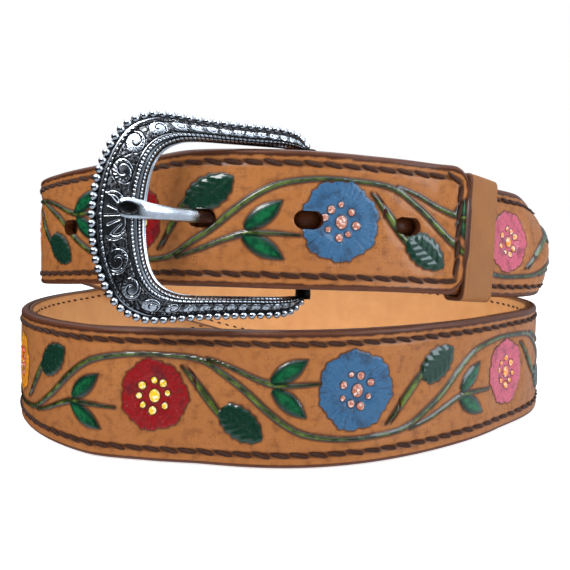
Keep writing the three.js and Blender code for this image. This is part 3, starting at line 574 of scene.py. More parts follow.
def strap_stretch(name, first, last, step):
    start, finish = float(length_at(first)), float(length_at(last))
    rows = np.linspace(start, finish, int((finish - start) / step) + 1)
    at_tip = last >= TIP_TURN - 0.01
    if at_tip:
        fine = TIP - FINE_END * np.linspace(1, 0, FINE_ROWS) ** 1.5
        rows = np.concatenate([rows[rows < TIP - FINE_END], fine])
    columns = int(STRAP_WIDTH / step / 2) * 2 + 1
    half = half_width(rows)[:, None]
    share = np.linspace(-1, 1, columns)[None, :]
    v = share * (half - ROLL)
    s = np.repeat(rows[:, None], columns, 1)
    hole = to_hole(s, v)
    close = np.abs(hole) < step * 0.62
    nudge = 0.01
    ds = (to_hole(s + nudge, v) - to_hole(s - nudge, v)) / (2 * nudge)
    dv = (to_hole(s, v + nudge) - to_hole(s, v - nudge)) / (2 * nudge)
    s, v = np.where(close, s - hole * ds, s), np.where(close, v - hole * dv, v)
    motifs, relief = tooling(s, v)
    edge = half - np.abs(v)
    if at_tip:
        edge = np.minimum(edge, TIP - s)
    relief = relief * ease(edge, 4.6, 5.6)
    # the groove that the stitches lie in, and the line pressed beside it
    relief -= 0.45 * np.exp(-((edge - STITCH_IN) / 0.85) ** 2)
    relief -= 0.16 * np.exp(-((edge - 2.2) / 0.3) ** 2)
    # the leather is never quite flat, and it dips at a hole's rim
    relief += 0.1 * np.sin(s * 0.11 + v * 0.2) + 0.08 * np.sin(s * 0.29 - v * 0.13)
    hole = to_hole(s, v)
    relief -= 0.45 * np.exp(-np.maximum(hole, 0) / 0.7) * (hole < 6)
    relief *= ease(edge, 0.9, 1.6)
    face = on_strap(turn_at(s), v, -relief)
    roll = np.radians([22, 45, 68, 90])
    sides = []
    for sign in (1, -1):
        across = half - ROLL * (1 - np.sin(roll)[None, :])
        depth = ROLL * (1 - np.cos(roll))[None, :] + 0 * across
        across = np.concatenate([across, half, half], 1)
        depth = np.concatenate([depth, 0 * half + OUTER - 0.15, 0 * half + OUTER + 0.12], 1)
        across[:, -1] -= 0.35
        sides.append((sign * across, depth))
    (top, top_depth), (low, low_depth) = sides
    s_top = np.repeat(rows[:, None], top.shape[1], 1)
    upper = on_strap(turn_at(s_top), top, top_depth)
    lower = on_strap(turn_at(s_top), low, low_depth)[:, ::-1]
    points = np.concatenate([lower, face, upper], 1)
    side = top.shape[1]
    all_s = np.concatenate([s_top, s, s_top], 1)
    all_v = np.concatenate([low[:, ::-1], v, top], 1)
    values = {"place": np.stack([all_s, all_v, 0 * all_s], -1)}
    values["edge"] = np.concatenate([0 * low, edge, 0 * top], 1)
    # the dark margin along each side is the edge dye; on the lower side it is 1.7 mm wide except at
    # the lower front, where it narrows to 0.75 mm, and that extra width is painted shade along the
    # lower edge
    low_front = ease(s, float(length_at(250)), float(length_at(262))) \
        * ease(-s, -float(length_at(466)), -float(length_at(452)))
    margin = np.where(v > 0, 2.0, 1.7 - 0.95 * low_front)
    values["edge_dye_and_shade"] = np.concatenate([0 * low - 1, edge - margin, 0 * top - 1], 1)
    values["depth"] = np.concatenate([low_depth[:, ::-1], -relief, top_depth], 1)
    for key, value in motifs.items():
        fill = value[:, :1] * 0 + (FAR if value.ndim == 2 else 0.5)
        pad = np.repeat(fill, side, 1)
        values[key] = np.concatenate([pad, value, pad], 1)
    count = points.shape[1]
    faces = grid_faces(len(rows), count)
    middle_s, middle_v = all_s.ravel()[faces].mean(1), all_v.ravel()[faces].mean(1)
    slot = (middle_s < SLOT_LENGTH) & (np.abs(middle_v) < SLOT_HALF)
    faces = faces[(to_hole(middle_s, middle_v) > 0) & ~slot]
    column = faces[:, 0] % count
    rolled = (column < side) | (column >= side + columns - 1)
    if at_tip:
        end_ring = np.arange((len(rows) - 1) * count, len(rows) * count)
        low_ring = on_strap(TIP_TURN + 0 * all_v[-1], all_v[-1] * 0.97, np.full(count, OUTER))
        points = np.concatenate([points.reshape(-1, 3), low_ring])
        first_new = len(rows) * count
        cap = np.stack([end_ring[:-1], first_new + np.arange(count - 1),
                        first_new + np.arange(1, count), end_ring[1:]], -1)
        faces = np.concatenate([faces, cap])
        rolled = np.concatenate([rolled, np.ones(len(cap), bool)])
        for key, value in values.items():
            wide = value.ndim == 3
            flat = value.reshape(-1, value.shape[-1]) if wide else value.ravel()
            end = value[-1] * (0 if key == "edge" else 1)
            values[key] = np.concatenate([flat, end])
    made = piece(name, points, faces.tolist(), [TOOLED, BURNISHED], values, rolled.astype(int))
    return made


STRETCHES = [
    ("strap_leather_upper_right", HEEL_TURN, 110, 0.55), ("strap_leather_back_outer", 110, 255, 0.9),
    ("strap_leather_lower_front", 255, 465, 0.5), ("strap_leather_back_inner", 465, 615, 0.9),
    ("strap_leather_upper_front", 615, TIP_TURN, 0.5),
]
coarse = 1.0
strap = [strap_stretch(name, a, b, step * coarse) for name, a, b, step in STRETCHES]
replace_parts(strap[0], "strap_outer")

# %% [markdown]
# ## Lining, flap and hole walls
# Inside the tooled layer lies a smooth tan lining, a little narrower. Both are plain, so a
# coarser grid does. At the heel bar the tooled layer turns round the bar and runs back behind
# itself as a flap, which is the same kind of ring swept along a short bent path.

# %% The lining
def lining_stretch(first, last):
    rows = np.arange(float(length_at(first)), float(length_at(last)), 1.5)
    rows = np.append(rows, float(length_at(last)))
    half = (half_width(rows) - LINER_INSET)[:, None]
    depth0, bevel = OUTER + LAYER_GAP, 0.55
    across = np.concatenate([-half, -half, -half + bevel * 0.4, -half + bevel], 1)
    depth = np.concatenate([0 * half + depth0, 0 * half + depth0 + LINER - bevel,
                            0 * half + depth0 + LINER - bevel * 0.4, 0 * half + depth0 + LINER], 1)
    inner = np.linspace(-1, 1, 41)[None, 1:-1] * (half - bevel)
    v = np.concatenate([across, inner, -across[:, ::-1]], 1)
    d = np.concatenate([depth, 0 * inner + depth0 + LINER, depth[:, ::-1]], 1)
    s = np.repeat(rows[:, None], v.shape[1], 1)
    groove = 0.22 * np.exp(-((half - np.abs(v) - 3.4) / 0.6) ** 2)
    points = on_strap(turn_at(s), v, d - groove)
    faces = grid_faces(len(rows), v.shape[1])
    middle = to_hole(s.ravel()[faces].mean(1), v.ravel()[faces].mean(1))
    faces = faces[middle > 0.2]
    values = {"place": np.stack([s, v, 0 * s], -1), "edge": half - np.abs(v)}
    return piece("strap_lining", points, faces.tolist(), [LINING], values)


lining = lining_stretch(float(turn_at(8.0)), TIP_TURN)
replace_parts(lining, "strap_liner")

# %% The fold round the heel bar and the flap behind
BAR_RADIUS = 2.2
FOLD_RADIUS = BAR_RADIUS + 0.3 + OUTER
FLAP_LENGTH, FLAP_GAP, FOLD_RUN_OUT = 45.0, 0.4, 15.0
# points across each face of the flap, rings along it, and the ring where its slot begins
FLAP_WIDE, FLAP_RINGS, FLAP_SLOT_RING = 39, 46, 36
heel = {key: value[0] for key, value in station(HEEL_TURN).items()}
bar_centre = heel["point"] - heel["out"] * FOLD_RADIUS


def flap_depth(length):
    away = PACK + FLAP_GAP + OUTER - 2 * FOLD_RADIUS
    return 2 * FOLD_RADIUS + ease(length, 0, FOLD_RUN_OUT) * away


def flap():
    half = STRAP_WIDTH / 2
    flat = np.linspace(-half + 0.4, half - 0.4, FLAP_WIDE)
    v = np.concatenate([flat, [half, half], -flat, [-half, -half]])
    deep = np.concatenate([np.zeros(FLAP_WIDE), [0.6, OUTER - 0.4],
                           np.full(FLAP_WIDE, OUTER), [OUTER - 0.4, 0.6]])
    rings = []
    for length in np.linspace(FLAP_LENGTH, 0.5, FLAP_RINGS):
        turn = float(turn_at(length))
        rings.append(on_strap(np.full(v.shape, turn), v, flap_depth(length) - deep))
    for angle in np.linspace(-90, 84, 24):
        a = math.radians(angle)
        out = heel["out"] * math.sin(a) - heel["along"] * math.cos(a)
        ring = bar_centre + out * (FOLD_RADIUS - deep)[:, None] + heel["up"] * v[:, None]
        rings.append((ring + SHIFT) * MM)
    rings = np.array(rings)
    faces = grid_faces(len(rings), len(v), round_columns=True)
    middle_v = v[faces % len(v)].mean(1)
    row = faces[:, 0] // len(v)
    faces = faces[~((np.abs(middle_v) < SLOT_HALF) & (row > FLAP_SLOT_RING))].tolist()
    faces.append(list(range(len(v)))[::-1])
    s = np.repeat(np.linspace(0, 70, len(rings))[:, None], len(v), 1)
    values = {"place": np.stack([s, 0 * s + v, 0 * s + deep], -1), "edge": 0 * s + half - np.abs(v)}
    return piece("strap_flap", rings, faces, [FLESH], values)


flap()

# %% The walls of the punched holes, and the skin of painted shade that closes each one behind
WALL_SIDES = 56
# a dark skin just inside the strap's back closes each hole: painted shade for the shadow deep in it
SHADE_SKIN_DEPTH = PACK - 0.1


def hole_walls_and_shade_skins():
    points, faces = [], []
    straight, end = (HOLE_LENGTH - HOLE_WIDTH) / 2, HOLE_WIDTH / 2
    angles = np.linspace(0, 2 * math.pi, WALL_SIDES, endpoint=False)
    s0 = np.cos(angles) * end + np.sign(np.cos(angles)) * straight
    v0 = np.sin(angles) * end
    depth = np.array([0.42, 1.0, OUTER, OUTER + LAYER_GAP, SHADE_SKIN_DEPTH])[:, None]
    for place in HOLE_PLACES:
        first = sum(len(p) for p in points)
        s = place + s0[None, :] + 0 * depth
        ring = on_strap(turn_at(s), v0[None, :] + 0 * depth, depth + 0 * s)
        points.append(ring.reshape(-1, 3))
        faces += grid_faces(len(depth), WALL_SIDES, round_columns=True, first=first).tolist()
        # the middle of this hole's dark skin, which is painted shade
        points.append(on_strap(turn_at(place), 0.0, SHADE_SKIN_DEPTH).reshape(1, 3))
        last = first + (len(depth) - 1) * WALL_SIDES
        faces += [(last + k, last + (k + 1) % WALL_SIDES, last + WALL_SIDES)
                  for k in range(WALL_SIDES)]
    points = np.concatenate(points)
    return piece("hole_walls_and_shade_skins", points, faces, [BURNISHED],
                 {"place": points / MM, "depth": np.zeros(len(points))})


hole_walls_and_shade_skins()

# %% [markdown]
# ## The stitching
# A thick dark thread runs close to both edges and round the tip, each stitch lying a little
# aslant, as in a lockstitch with heavy thread. A curve with a bevel would run straight through
# the leather, so each stitch is a small rounded grain of its own, sunk at both ends, and all of
# one row are joined in one piece.

# %% The thread and its stitches
def thread():
    n = Nodes("brown_thread")
    base = n.mix(n.noise(1.2, 3), paint(40, 20, 12), paint(84, 46, 28))
    twist = n.add("ShaderNodeTexWave", {"Vector": n.place(), "Scale": 1.3, "Distortion": 1.5},
                  bands_direction="DIAGONAL").outputs["Fac"]
    base = n.mix(n.steps(twist, 0.2, 0.7, 0.5, 0), base, paint(30, 17, 12))
    return n.finish(Base_Color=base, Roughness=0.45, Normal=n.bump(twist, 0.0002, 0.7),
                    Specular_IOR_Level=0.25)


THREAD = thread()
STITCH_PITCH, STITCH_CORNER = 5.3, 3.2
# the strap's usual radius of bend in mm, which each stitch follows
BEND_RADIUS = 98


def stitch_shape(sides=8, rings=7):
    """A grain of thread, 1 long, 1 wide and 1 high, lying along x."""
    t = np.linspace(-1, 1, rings)
    a = np.linspace(0, 2 * math.pi, sides, endpoint=False)
    r = (1 - np.abs(t) ** 2.6)[:, None] ** 0.5 * 0.5 + 0.02
    x = (t * 0.5)[:, None] + 0 * a
    shape = np.stack([x, r * np.cos(a), r * np.sin(a)], -1)
    return shape, grid_faces(rings, sides, round_columns=True)


def path_round_tip(first):
    """Places along the strap's upper side, round the tip and back along the lower side."""
    edge = STRAP_WIDTH / 2 - STITCH_IN
    centre = TIP - STITCH_IN - STITCH_CORNER
    upper = [(x, edge) for x in np.linspace(first, centre, 400)]
    upper += [(centre + STITCH_CORNER * math.sin(a),
               edge - STITCH_CORNER + STITCH_CORNER * math.cos(a))
              for a in np.linspace(0, math.pi / 2, 12)]
    return np.array(upper + [(x, -y) for x, y in reversed(upper)])


def stitches(name, runs, depth=0, size=(5.7, 1.2, 1.0), slant=-13, sink=0.1):
    shape, shape_faces = stitch_shape()
    flat = shape.reshape(-1, 3) * np.array(size)
    points, faces, marks = [], [], []
    for line in runs:
        steps = np.linalg.norm(np.diff(line, axis=0), axis=1)
        run = np.concatenate([[0], np.cumsum(steps)])
        count = int(run[-1] / STITCH_PITCH)
        for k in range(count):
            at = (k + 0.5) * run[-1] / count
            x, y = np.interp(at, run, line[:, 0]), np.interp(at, run, line[:, 1])
            x2, y2 = np.interp(at + 0.3, run, line[:, 0]), np.interp(at + 0.3, run, line[:, 1])
            a = math.atan2(y2 - y, x2 - x) + math.radians(slant) + 0.07 * math.sin(k * 2.4)
            s = x + flat[:, 0] * math.cos(a) - flat[:, 1] * math.sin(a)
            v = y + flat[:, 0] * math.sin(a) + flat[:, 1] * math.cos(a)
            turn = np.full(len(s), float(turn_at(x)))
            station_x = {key: value[0] for key, value in station(turn[0]).items()}
            share = 2 * v / STRAP_WIDTH
            outwards = station_x["belly"] * np.maximum(1 - share ** 2, 0) - depth
            outwards = outwards + flat[:, 2] - sink - (s - x) ** 2 / (2 * BEND_RADIUS)
            point = station_x["point"] + station_x["out"] * outwards[:, None]
            point = point + station_x["up"] * (v * station_x["height"])[:, None]
            point = point + station_x["along"] * (s - x)[:, None]
            faces.append(shape_faces + len(points) * len(flat))
            points.append((point + SHIFT) * MM)
            marks.append(np.stack([flat[:, 0] + k * 1.7, flat[:, 1], flat[:, 2]], -1))
    return piece(name, np.concatenate(points), np.concatenate(faces).tolist(), [THREAD],
                 {"place": np.concatenate(marks)})


# %% Both rows outside, and the small stitches on the lining
def straight_runs(cuts, inset=STITCH_IN):
    edge = STRAP_WIDTH / 2 - inset
    return [np.array([(a, side * edge), (b, side * edge)]) for a, b in cuts for side in (1, -1)]


start, low, low_end, high = [float(length_at(turn)) for turn in (14, 250, 465, 620)]
stitches("stitches_low", straight_runs([(low, low_end)]))
stitches("stitches_top", [path_round_tip(high)])
stitches("stitches_back", straight_runs([(start, low), (low_end, high)]))
stitches("stitches_inside", straight_runs([(start, TIP - 6)], 3.9), PACK,
                 (2.6, 0.8, 0.6), 8, -0.02)

# %% [markdown]
# ## The keeper
# The keeper is a plain band of leather round both layers, with a pressed line near each of its
# edges. It is a tube: an outer and an inner surface with rounded rims, each point placed on the
# strap by its turn, so that it hugs the strap's slope and bow.

# %% The keeper's band
KEEPER_TURN, KEEPER_WIDTH, KEEPER_THICK, KEEPER_CLEAR = 43.6, 18.0, 1.6, 0.35


def keeper():
    centre, half_band = float(length_at(KEEPER_TURN)), KEEPER_WIDTH / 2
    half_v, half_d = STRAP_WIDTH / 2 + KEEPER_CLEAR, (PACK + 2 * KEEPER_CLEAR) / 2
    angles = np.linspace(0, 2 * math.pi, 220, endpoint=False)

    def loop(grow):
        radius = 0.5 + grow
        flat_v, flat_d = half_v - 0.5, half_d - 0.5
        v = np.sign(np.sin(angles)) * np.abs(np.sin(angles)) ** 0.12 * (flat_v + radius)
        d = np.sign(np.cos(angles)) * np.abs(np.cos(angles)) ** 0.5 * (flat_d + radius)
        return v, PACK / 2 - d

    rim = [(0, half_band - 0.4), (0.4, half_band - 0.1), (1.2, half_band)]
    outside = [(KEEPER_THICK, x) for x in np.linspace(half_band - 0.5, -half_band + 0.5, 44)]
    profile = rim + outside + [(g, -x) for g, x in reversed(rim)]
    profile += [(0, x) for x in np.linspace(-half_band + 1, half_band - 1, 10)]
    rings, places, edges = [], [], []
    for grow, x in profile:
        pressed = 0.22 * math.exp(-((half_band - abs(x) - 2.0) / 0.35) ** 2)
        v, d = loop(grow - (pressed if grow == KEEPER_THICK else 0))
        s = centre + x + v * 0.045
        rings.append(on_strap(turn_at(s), v, d))
        places.append(np.stack([s + 0 * v, v, d], -1))
        lift = 0.25 if grow == KEEPER_THICK else 0
        edges.append(np.full(len(v), half_band - abs(x) + lift))
    faces = grid_faces(len(rings), len(angles), round_rows=True, round_columns=True)
    return piece("keeper_band", rings, faces.tolist(), [KEEPER],
                 {"place": np.array(places), "edge": np.array(edges)})


band = keeper()
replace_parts(band, "keeper_loop")

# %% [markdown]
# ## The buckle
# The frame was cast and then engraved: a beaded rim, a fine rope beside it, scrolls cut into the
# broad face, and two more rope lines down the inner bevel. Everything lies on one grid that runs
# round the frame, so a scroll is a spiral drawn in two numbers, the way along and the way across.
# Deep cuts carry a number that the material turns into old black tarnish. The same number
# also paints shade: it darkens the beads below their crests, the tongue's underside and the
# whole heel bar.

# %% Silver, bright on the heights, black in the cuts and black in painted shade
def silver(name, rough):
    n = Nodes(name)
    worn = n.noise(0.5, 4)
    bright = n.mix(worn, (0.84, 0.87, 0.92, 1), (0.5, 0.52, 0.56, 1))
    uneven = n.steps(n.noise(1.5, 4), 0.3, 0.7, -0.12, 0.18)
    # black is tarnish in the cuts, and painted shade where a piece marks it so
    black = n.steps(n.sums("ADD", n.number("tarnish_and_shade"), uneven), 0.12, 0.6)
    base = n.mix(black, bright, (0.02, 0.019, 0.02, 1))
    dull = n.steps(worn, 0.3, 0.7, rough, rough + 0.12)
    dull = n.sums("ADD", n.sums("MULTIPLY", black, 0.3), dull)
    return n.finish(Base_Color=base, Metallic=1.0, Roughness=dull,
                    Normal=n.bump(n.noise(3.0, 4), 0.00005, 0.4))


SILVER = silver("antique_silver", 0.11)
POLISHED = silver("polished_silver", 0.07)

# %% The frame's two outlines
OPENING_LENGTH, FRONT_WIDTH = 43.8, 13.6
FRAME_LENGTH = OPENING_LENGTH + FRONT_WIDTH
FRAME_RISE, FRAME_CREST, FRAME_UNDER, BUCKLE_YAW, HANG_GAP = 11.0, 2.1, 1.3, 2.0, 0.4
BEAD_PITCH = 2.33
# inner along, inner across, outer along, outer across, rise
OUTLINE = np.array([
    (0, 1, 0, 0.79, 0.05), (0.043, 1, 0.033, 0.862, 0.14), (0.098, 1, 0.076, 0.917, 0.32),
    (0.21, 1, 0.166, 0.938, 0.56), (0.445, 1, 0.358, 0.947, 0.7), (0.65, 1, 0.544, 0.969, 0.8),
    (0.772, 0.983, 0.66, 0.993, 0.86), (0.85, 0.93, 0.735, 0.998, 0.9),
    (0.905, 0.847, 0.812, 0.951, 0.94), (0.94, 0.744, 0.868, 0.868, 0.97),
    (0.966, 0.61, 0.912, 0.74, 1), (0.982, 0.47, 0.948, 0.585, 1), (0.992, 0.315, 0.976, 0.41, 1),
    (0.998, 0.155, 0.993, 0.21, 1), (1, 0, 1, 0, 1),
])
OUTLINE = np.column_stack([np.linspace(0, 1, len(OUTLINE)), OUTLINE])
SECTION = np.array([(0, 0.05), (0.12, 0.3), (0.6, 1.0), (0.84, 0.72), (1, 0.05)])

backwards = heel["along"] * math.cos(math.radians(BUCKLE_YAW)) \
    + np.cross(heel["up"], heel["along"]) * math.sin(math.radians(BUCKLE_YAW))
outwards = np.cross(backwards, heel["up"])
buckle_origin = bar_centre + heel["up"] * (HANG_GAP - SIDE_GAP)


def on_buckle(local):
    """Points given along the buckle, up and outwards from its heel bar, in mm."""
    local = np.asarray(local, float)
    world = buckle_origin + local[..., :1] * backwards + local[..., 1:2] * heel["up"]
    return (world + local[..., 2:3] * outwards + SHIFT) * MM


def frame_edges(share):
    place = 1 - np.abs(2 * share - 1)
    side = np.sign(0.5 - share)
    height = between(OUTLINE, 5, place) * FRAME_RISE
    outer = np.stack([-between(OUTLINE, 3, place) * FRAME_LENGTH,
                      side * between(OUTLINE, 4, place) * FRAME_HALF, height], -1)
    inner = np.stack([-between(OUTLINE, 1, place) * OPENING_LENGTH,
                      side * between(OUTLINE, 2, place) * OPENING_HALF, height], -1)
    return outer, inner


# %% The engraving, in the way along the frame and the way across it
def engraving(arc, width, a):
    """How deep the cuts are, 0 to 1, and how dark the ground between the scrolls is, 0 to 1."""
    low, high, cell_length = 0.2, 0.66, 2.7
    half = (high - low) * width / 2
    steps = np.diff(arc[:, 0]) / (cell_length * half[1:, 0])
    phase = np.concatenate([[0], np.cumsum(steps)])[:, None]
    phase = phase - phase[len(phase) // 2]
    y = (a - (low + high) / 2) * width / half
    cell = np.floor(phase)
    x = (phase - cell - 0.5) * cell_length * np.sign(phase + 1e-9)
    y2 = y * np.where(cell % 2 == 0, 1.0, -1.0)
    # a scroll that winds in on itself
    cx, cy = x + 0.4, y2 - 0.1
    r, angle = np.hypot(cx, cy), np.arctan2(cy, cx)
    coil = np.abs(((r * 1.35 - angle / (2 * math.pi) + 0.1) % 1) - 0.5) * 2
    cuts = ease(coil, 0.74, 0.95) * ease(0.98 - r, 0, 0.1) * ease(r, 0.1, 0.25)
    nicks = 1 - ease(np.abs(np.sin(angle * 8 - r * 5)), 0, 0.3)
    nicks = nicks * ease(r, 0.55, 0.65) * ease(0.93 - r, 0, 0.05)
    # leaves that fan out from the scroll
    fx, fy = x - 0.25, y2 + 0.95
    spread, fan = np.hypot(fx, fy), np.arctan2(fy, fx)
    leaves = (1 - ease(np.abs(np.sin(fan * 5.5 + spread * 1.1)), 0, 0.22)) * ease(r, 1.0, 1.08)
    cuts = np.maximum.reduce([cuts, 0.6 * nicks, leaves, np.exp(-((r - 1.0) / 0.05) ** 2)])
    # rays round the tongue's head
    rx, ry = phase * cell_length, y - 1.5
    ray = 1 - ease(np.abs(np.sin(np.arctan2(rx, -ry) * 9)), 0.05, 0.4)
    near_head = ease(1.75 - np.abs(rx) - 0.35 * (y + 1), 0, 0.1)
    far_out = np.hypot(rx, ry)
    ray = ray * ease(far_out, 0.9, 1.3) * ease(2.45 + 0.2 * np.cos(rx * 12) - far_out, 0, 0.15)
    cuts = cuts * (1 - near_head) + ray * near_head
    inside = ease(a, low - 0.01, low + 0.03) * ease(high + 0.02 - a, 0, 0.04)
    ground = ease(r, 1.02, 1.12) * (1 - near_head) * 0.45 * inside
    border = np.exp(-((a - low) * width / 0.14) ** 2) + np.exp(-((a - high) * width / 0.14) ** 2)
    return np.clip(cuts * inside + border, 0, 1), ground


def rope(arc, b, centre, radius, pitch):
    """A twisted line: its height in mm and its dark joints, at a distance b across."""
    t = np.clip(np.abs(b - centre) / radius, 0, 1)
    twist = np.abs(np.sin(math.pi * (arc / pitch + (b - centre) * 0.5 / pitch)))
    round_top = np.sqrt(1 - t ** 2)
    return radius * round_top * (0.45 + 0.55 * twist), round_top * (1 - ease(twist, 0.15, 0.6))


# %% The frame's surface
def buckle_frame():
    rows, columns = 1100, 64
    share = np.linspace(0.0005, 0.9995, rows)
    outer, inner = frame_edges(share)
    middle = (outer + inner) / 2
    arc = np.concatenate([[0], np.cumsum(np.linalg.norm(np.diff(middle, axis=0), axis=1))])[:, None]
    width = np.linalg.norm(outer - inner, axis=1)[:, None]
    a = np.linspace(0, 1, columns)[None, :]
    b = a * width
    height = between(SECTION, 1, a[0])[None, :] * FRAME_CREST + 0 * b
    cuts, ground = engraving(arc, width, a)
    tarnish_and_shade = np.maximum(cuts, ground)
    height = height - 0.3 * cuts * np.clip(width / 9, 0.5, 1)
    for line, radius, pitch in ((np.minimum(2.3, 0.215 * width), 0.42, 1.25),
                                (0.76 * width, 0.4, 1.2), (0.9 * width, 0.42, 1.2)):
        radius = radius * np.clip(width / 7, 0.7, 1)
        raised, joints = rope(arc, b, line, radius, pitch)
        height = height + raised
        tarnish_and_shade = np.maximum(tarnish_and_shade, joints)
        gutter = np.exp(-((np.abs(b - line) - radius * 1.15) / 0.16) ** 2)
        tarnish_and_shade = np.maximum(tarnish_and_shade, gutter * 0.9)
    tarnish_and_shade = np.maximum(tarnish_and_shade, ease(1.5 - b, 0, 0.5))
    local = outer[:, None, :] + (inner - outer)[:, None, :] * a[..., None]
    local[..., 2] += height
    under = [(1.0, -0.3), (0.97, -FRAME_UNDER), (0.5, -FRAME_UNDER - 0.05),
             (0.03, -FRAME_UNDER), (0.0, -0.3)]
    low = np.stack([outer + (inner - outer) * way + [0, 0, drop] for way, drop in under], 1)
    points = np.concatenate([local, low], 1)
    marks = np.concatenate([tarnish_and_shade, np.full((rows, len(under)), 0.15)], 1)
    count = columns + len(under)
    faces = grid_faces(rows, count, round_columns=True)
    row = np.arange(len(under))[None, :]
    place = np.concatenate([np.stack([arc + 0 * a, b, height], -1),
                            np.stack([arc + 0 * row, row + 0 * arc, 0 * arc + 0 * row], -1)], 1)
    ends = [list(range(count)), list(range((rows - 1) * count, rows * count))[::-1]]
    made = piece("buckle_frame_engraved", on_buckle(points), faces.tolist() + ends, [SILVER],
                 {"tarnish_and_shade": marks, "place": place})
    return made


buckle = buckle_frame()
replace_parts(buckle, "buckle_frame")

# %% The beads and the heel bar
def ball(radius, sides, rings):
    t = np.linspace(0, math.pi, rings)
    a = np.linspace(0, 2 * math.pi, sides, endpoint=False)
    sphere = np.stack([np.sin(t)[:, None] * np.cos(a), np.sin(t)[:, None] * np.sin(a),
                       np.cos(t)[:, None] + 0 * a], -1)
    return sphere.reshape(-1, 3) * radius, grid_faces(rings, sides, round_columns=True)


def beads():
    share = np.linspace(0, 1, 3000)
    outer, _ = frame_edges(share)
    run = np.concatenate([[0], np.cumsum(np.linalg.norm(np.diff(outer, axis=0), axis=1))])
    count = int(run[-1] / BEAD_PITCH)
    shape, shape_faces = ball(BEAD_RADIUS, 18, 12)
    points, faces, marks = [], [], []
    for k in range(count):
        centre = [np.interp((k + 0.5) * run[-1] / count, run, outer[:, axis]) for axis in range(3)]
        points.append(shape + np.array(centre))
        faces.append(shape_faces + k * len(shape))
        # tarnish where each bead meets the frame, carried up its sides as painted shade so that only
        # its crest stays bright
        marks.append(ease(0.7 * BEAD_RADIUS - shape[:, 2], 0, 0.9))
    points = np.concatenate(points)
    print(f"{count} beads round the frame")
    made = piece("buckle_beads", on_buckle(points), np.concatenate(faces).tolist(), [SILVER],
                 {"tarnish_and_shade": np.concatenate(marks), "place": points})
    return made


def closed_rod(rows, sides):
    """Faces of a rod of rings that is closed at both ends, as the first ring and the last."""
    faces = grid_faces(rows, sides, round_columns=True).tolist()
    return faces, list(range(sides)), list(range((rows - 1) * sides, rows * sides))


def heel_bar():
    rows, sides = 24, 32
    arm = frame_edges(np.array([0.0]))[0][0][1]
    y = np.linspace(-arm, arm, rows)[:, None]
    a = np.linspace(0, 2 * math.pi, sides, endpoint=False)[None, :]
    points = np.stack([BAR_RADIUS * np.cos(a) + 0 * y, y + 0 * a, BAR_RADIUS * np.sin(a) + 0 * y], -1)
    faces, first, last = closed_rod(rows, sides)
    faces += [first[::-1], last]
    # the whole bar is black: painted shade for the bar that lies inside the strap's fold
    made = piece("buckle_heel_bar", on_buckle(points), faces, [POLISHED],
                 {"tarnish_and_shade": 1.0 + 0 * points[..., 0], "place": points})
    return made


beads()
heel_bar()

# %% [markdown]
# ## The tongue
# The tongue is a slim bar that grips the heel bar, comes up through the strap's hole and rests
# on the frame's front, where it swells into a tip with a small dark oval pressed into it. It is
# one ring of points swept along a table of places, widths and heights.

# %% The tongue's bar and tip
TONGUE_WIDTH, TONGUE_TIP_WIDTH, TONGUE_THICK = 3.9, 5.4, 2.2
# along, rise, side, width, thickness
TONGUE = np.array([
    (0.03, 0.264, 0.08, 0, 0.9), (0.21, 0.24, 0.09, -0.15, 0.9), (0.35, 0.17, 0.1, -0.3, 0.9),
    (0.48, 0.055, 0.12, -0.35, 0.9), (0.55, 0.005, 0.14, -0.35, 0.9), (0.62, 0.1, 0.16, -0.3, 0.9),
    (0.75, 0.5, 0.21, -0.15, 0.95), (0.88, 0.93, 0.28, 0, 1), (0.96, 1.16, 0.34, 0.2, 1),
    (1.03, 1.28, 0.42, 0.75, 1), (1.09, 1.322, 0.48, 1, 1), (1.13, 1.315, 0.52, 0.6, 0.9),
    (1.15, 1.305, 0.54, -0.6, 0.6),
])


def tongue():
    rows, sides = 120, 48
    share = 1 - (1 - np.linspace(0, 1, rows)) ** 1.5
    along = TONGUE[0, 0] + share * (TONGUE[-1, 0] - TONGUE[0, 0])
    half = (TONGUE_WIDTH + (TONGUE_TIP_WIDTH - TONGUE_WIDTH) * between(TONGUE, 3, along)) / 2
    thick = TONGUE_THICK * between(TONGUE, 4, along) / 2
    a = np.linspace(0, 2 * math.pi, sides, endpoint=False)[None, :]
    power = 0.8
    across = np.sign(np.cos(a)) * np.abs(np.cos(a)) ** power * half[:, None]
    high = np.sign(np.sin(a)) * np.abs(np.sin(a)) ** power * thick[:, None]
    x = (-along * OPENING_LENGTH)[:, None] + 0 * a
    y = (between(TONGUE, 2, along) * TONGUE_WIDTH)[:, None] + across
    z = (between(TONGUE, 1, along) * FRAME_RISE)[:, None] + high
    oval = np.hypot((x + 1.085 * OPENING_LENGTH) / 2.3, across / 1.55)
    above = high > 0
    z = z - 0.35 * ease(1 - oval, 0, 0.3) * above
    tarnish_and_shade = np.where(above, ease(1.02 - oval, 0, 0.15), 0.0)
    # the tongue's underside is darkened: painted shade
    tarnish_and_shade = np.maximum(tarnish_and_shade, ease(-high, 0.3, 0.9) * 0.5)
    points = np.stack([x, y, z], -1)
    faces, first, last = closed_rod(rows, sides)
    faces += [first, last[::-1]]
    made = piece("buckle_tongue_polished", on_buckle(points), faces, [POLISHED],
                 {"tarnish_and_shade": tarnish_and_shade, "place": points})
    return made


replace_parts(tongue(), "buckle_tongue")

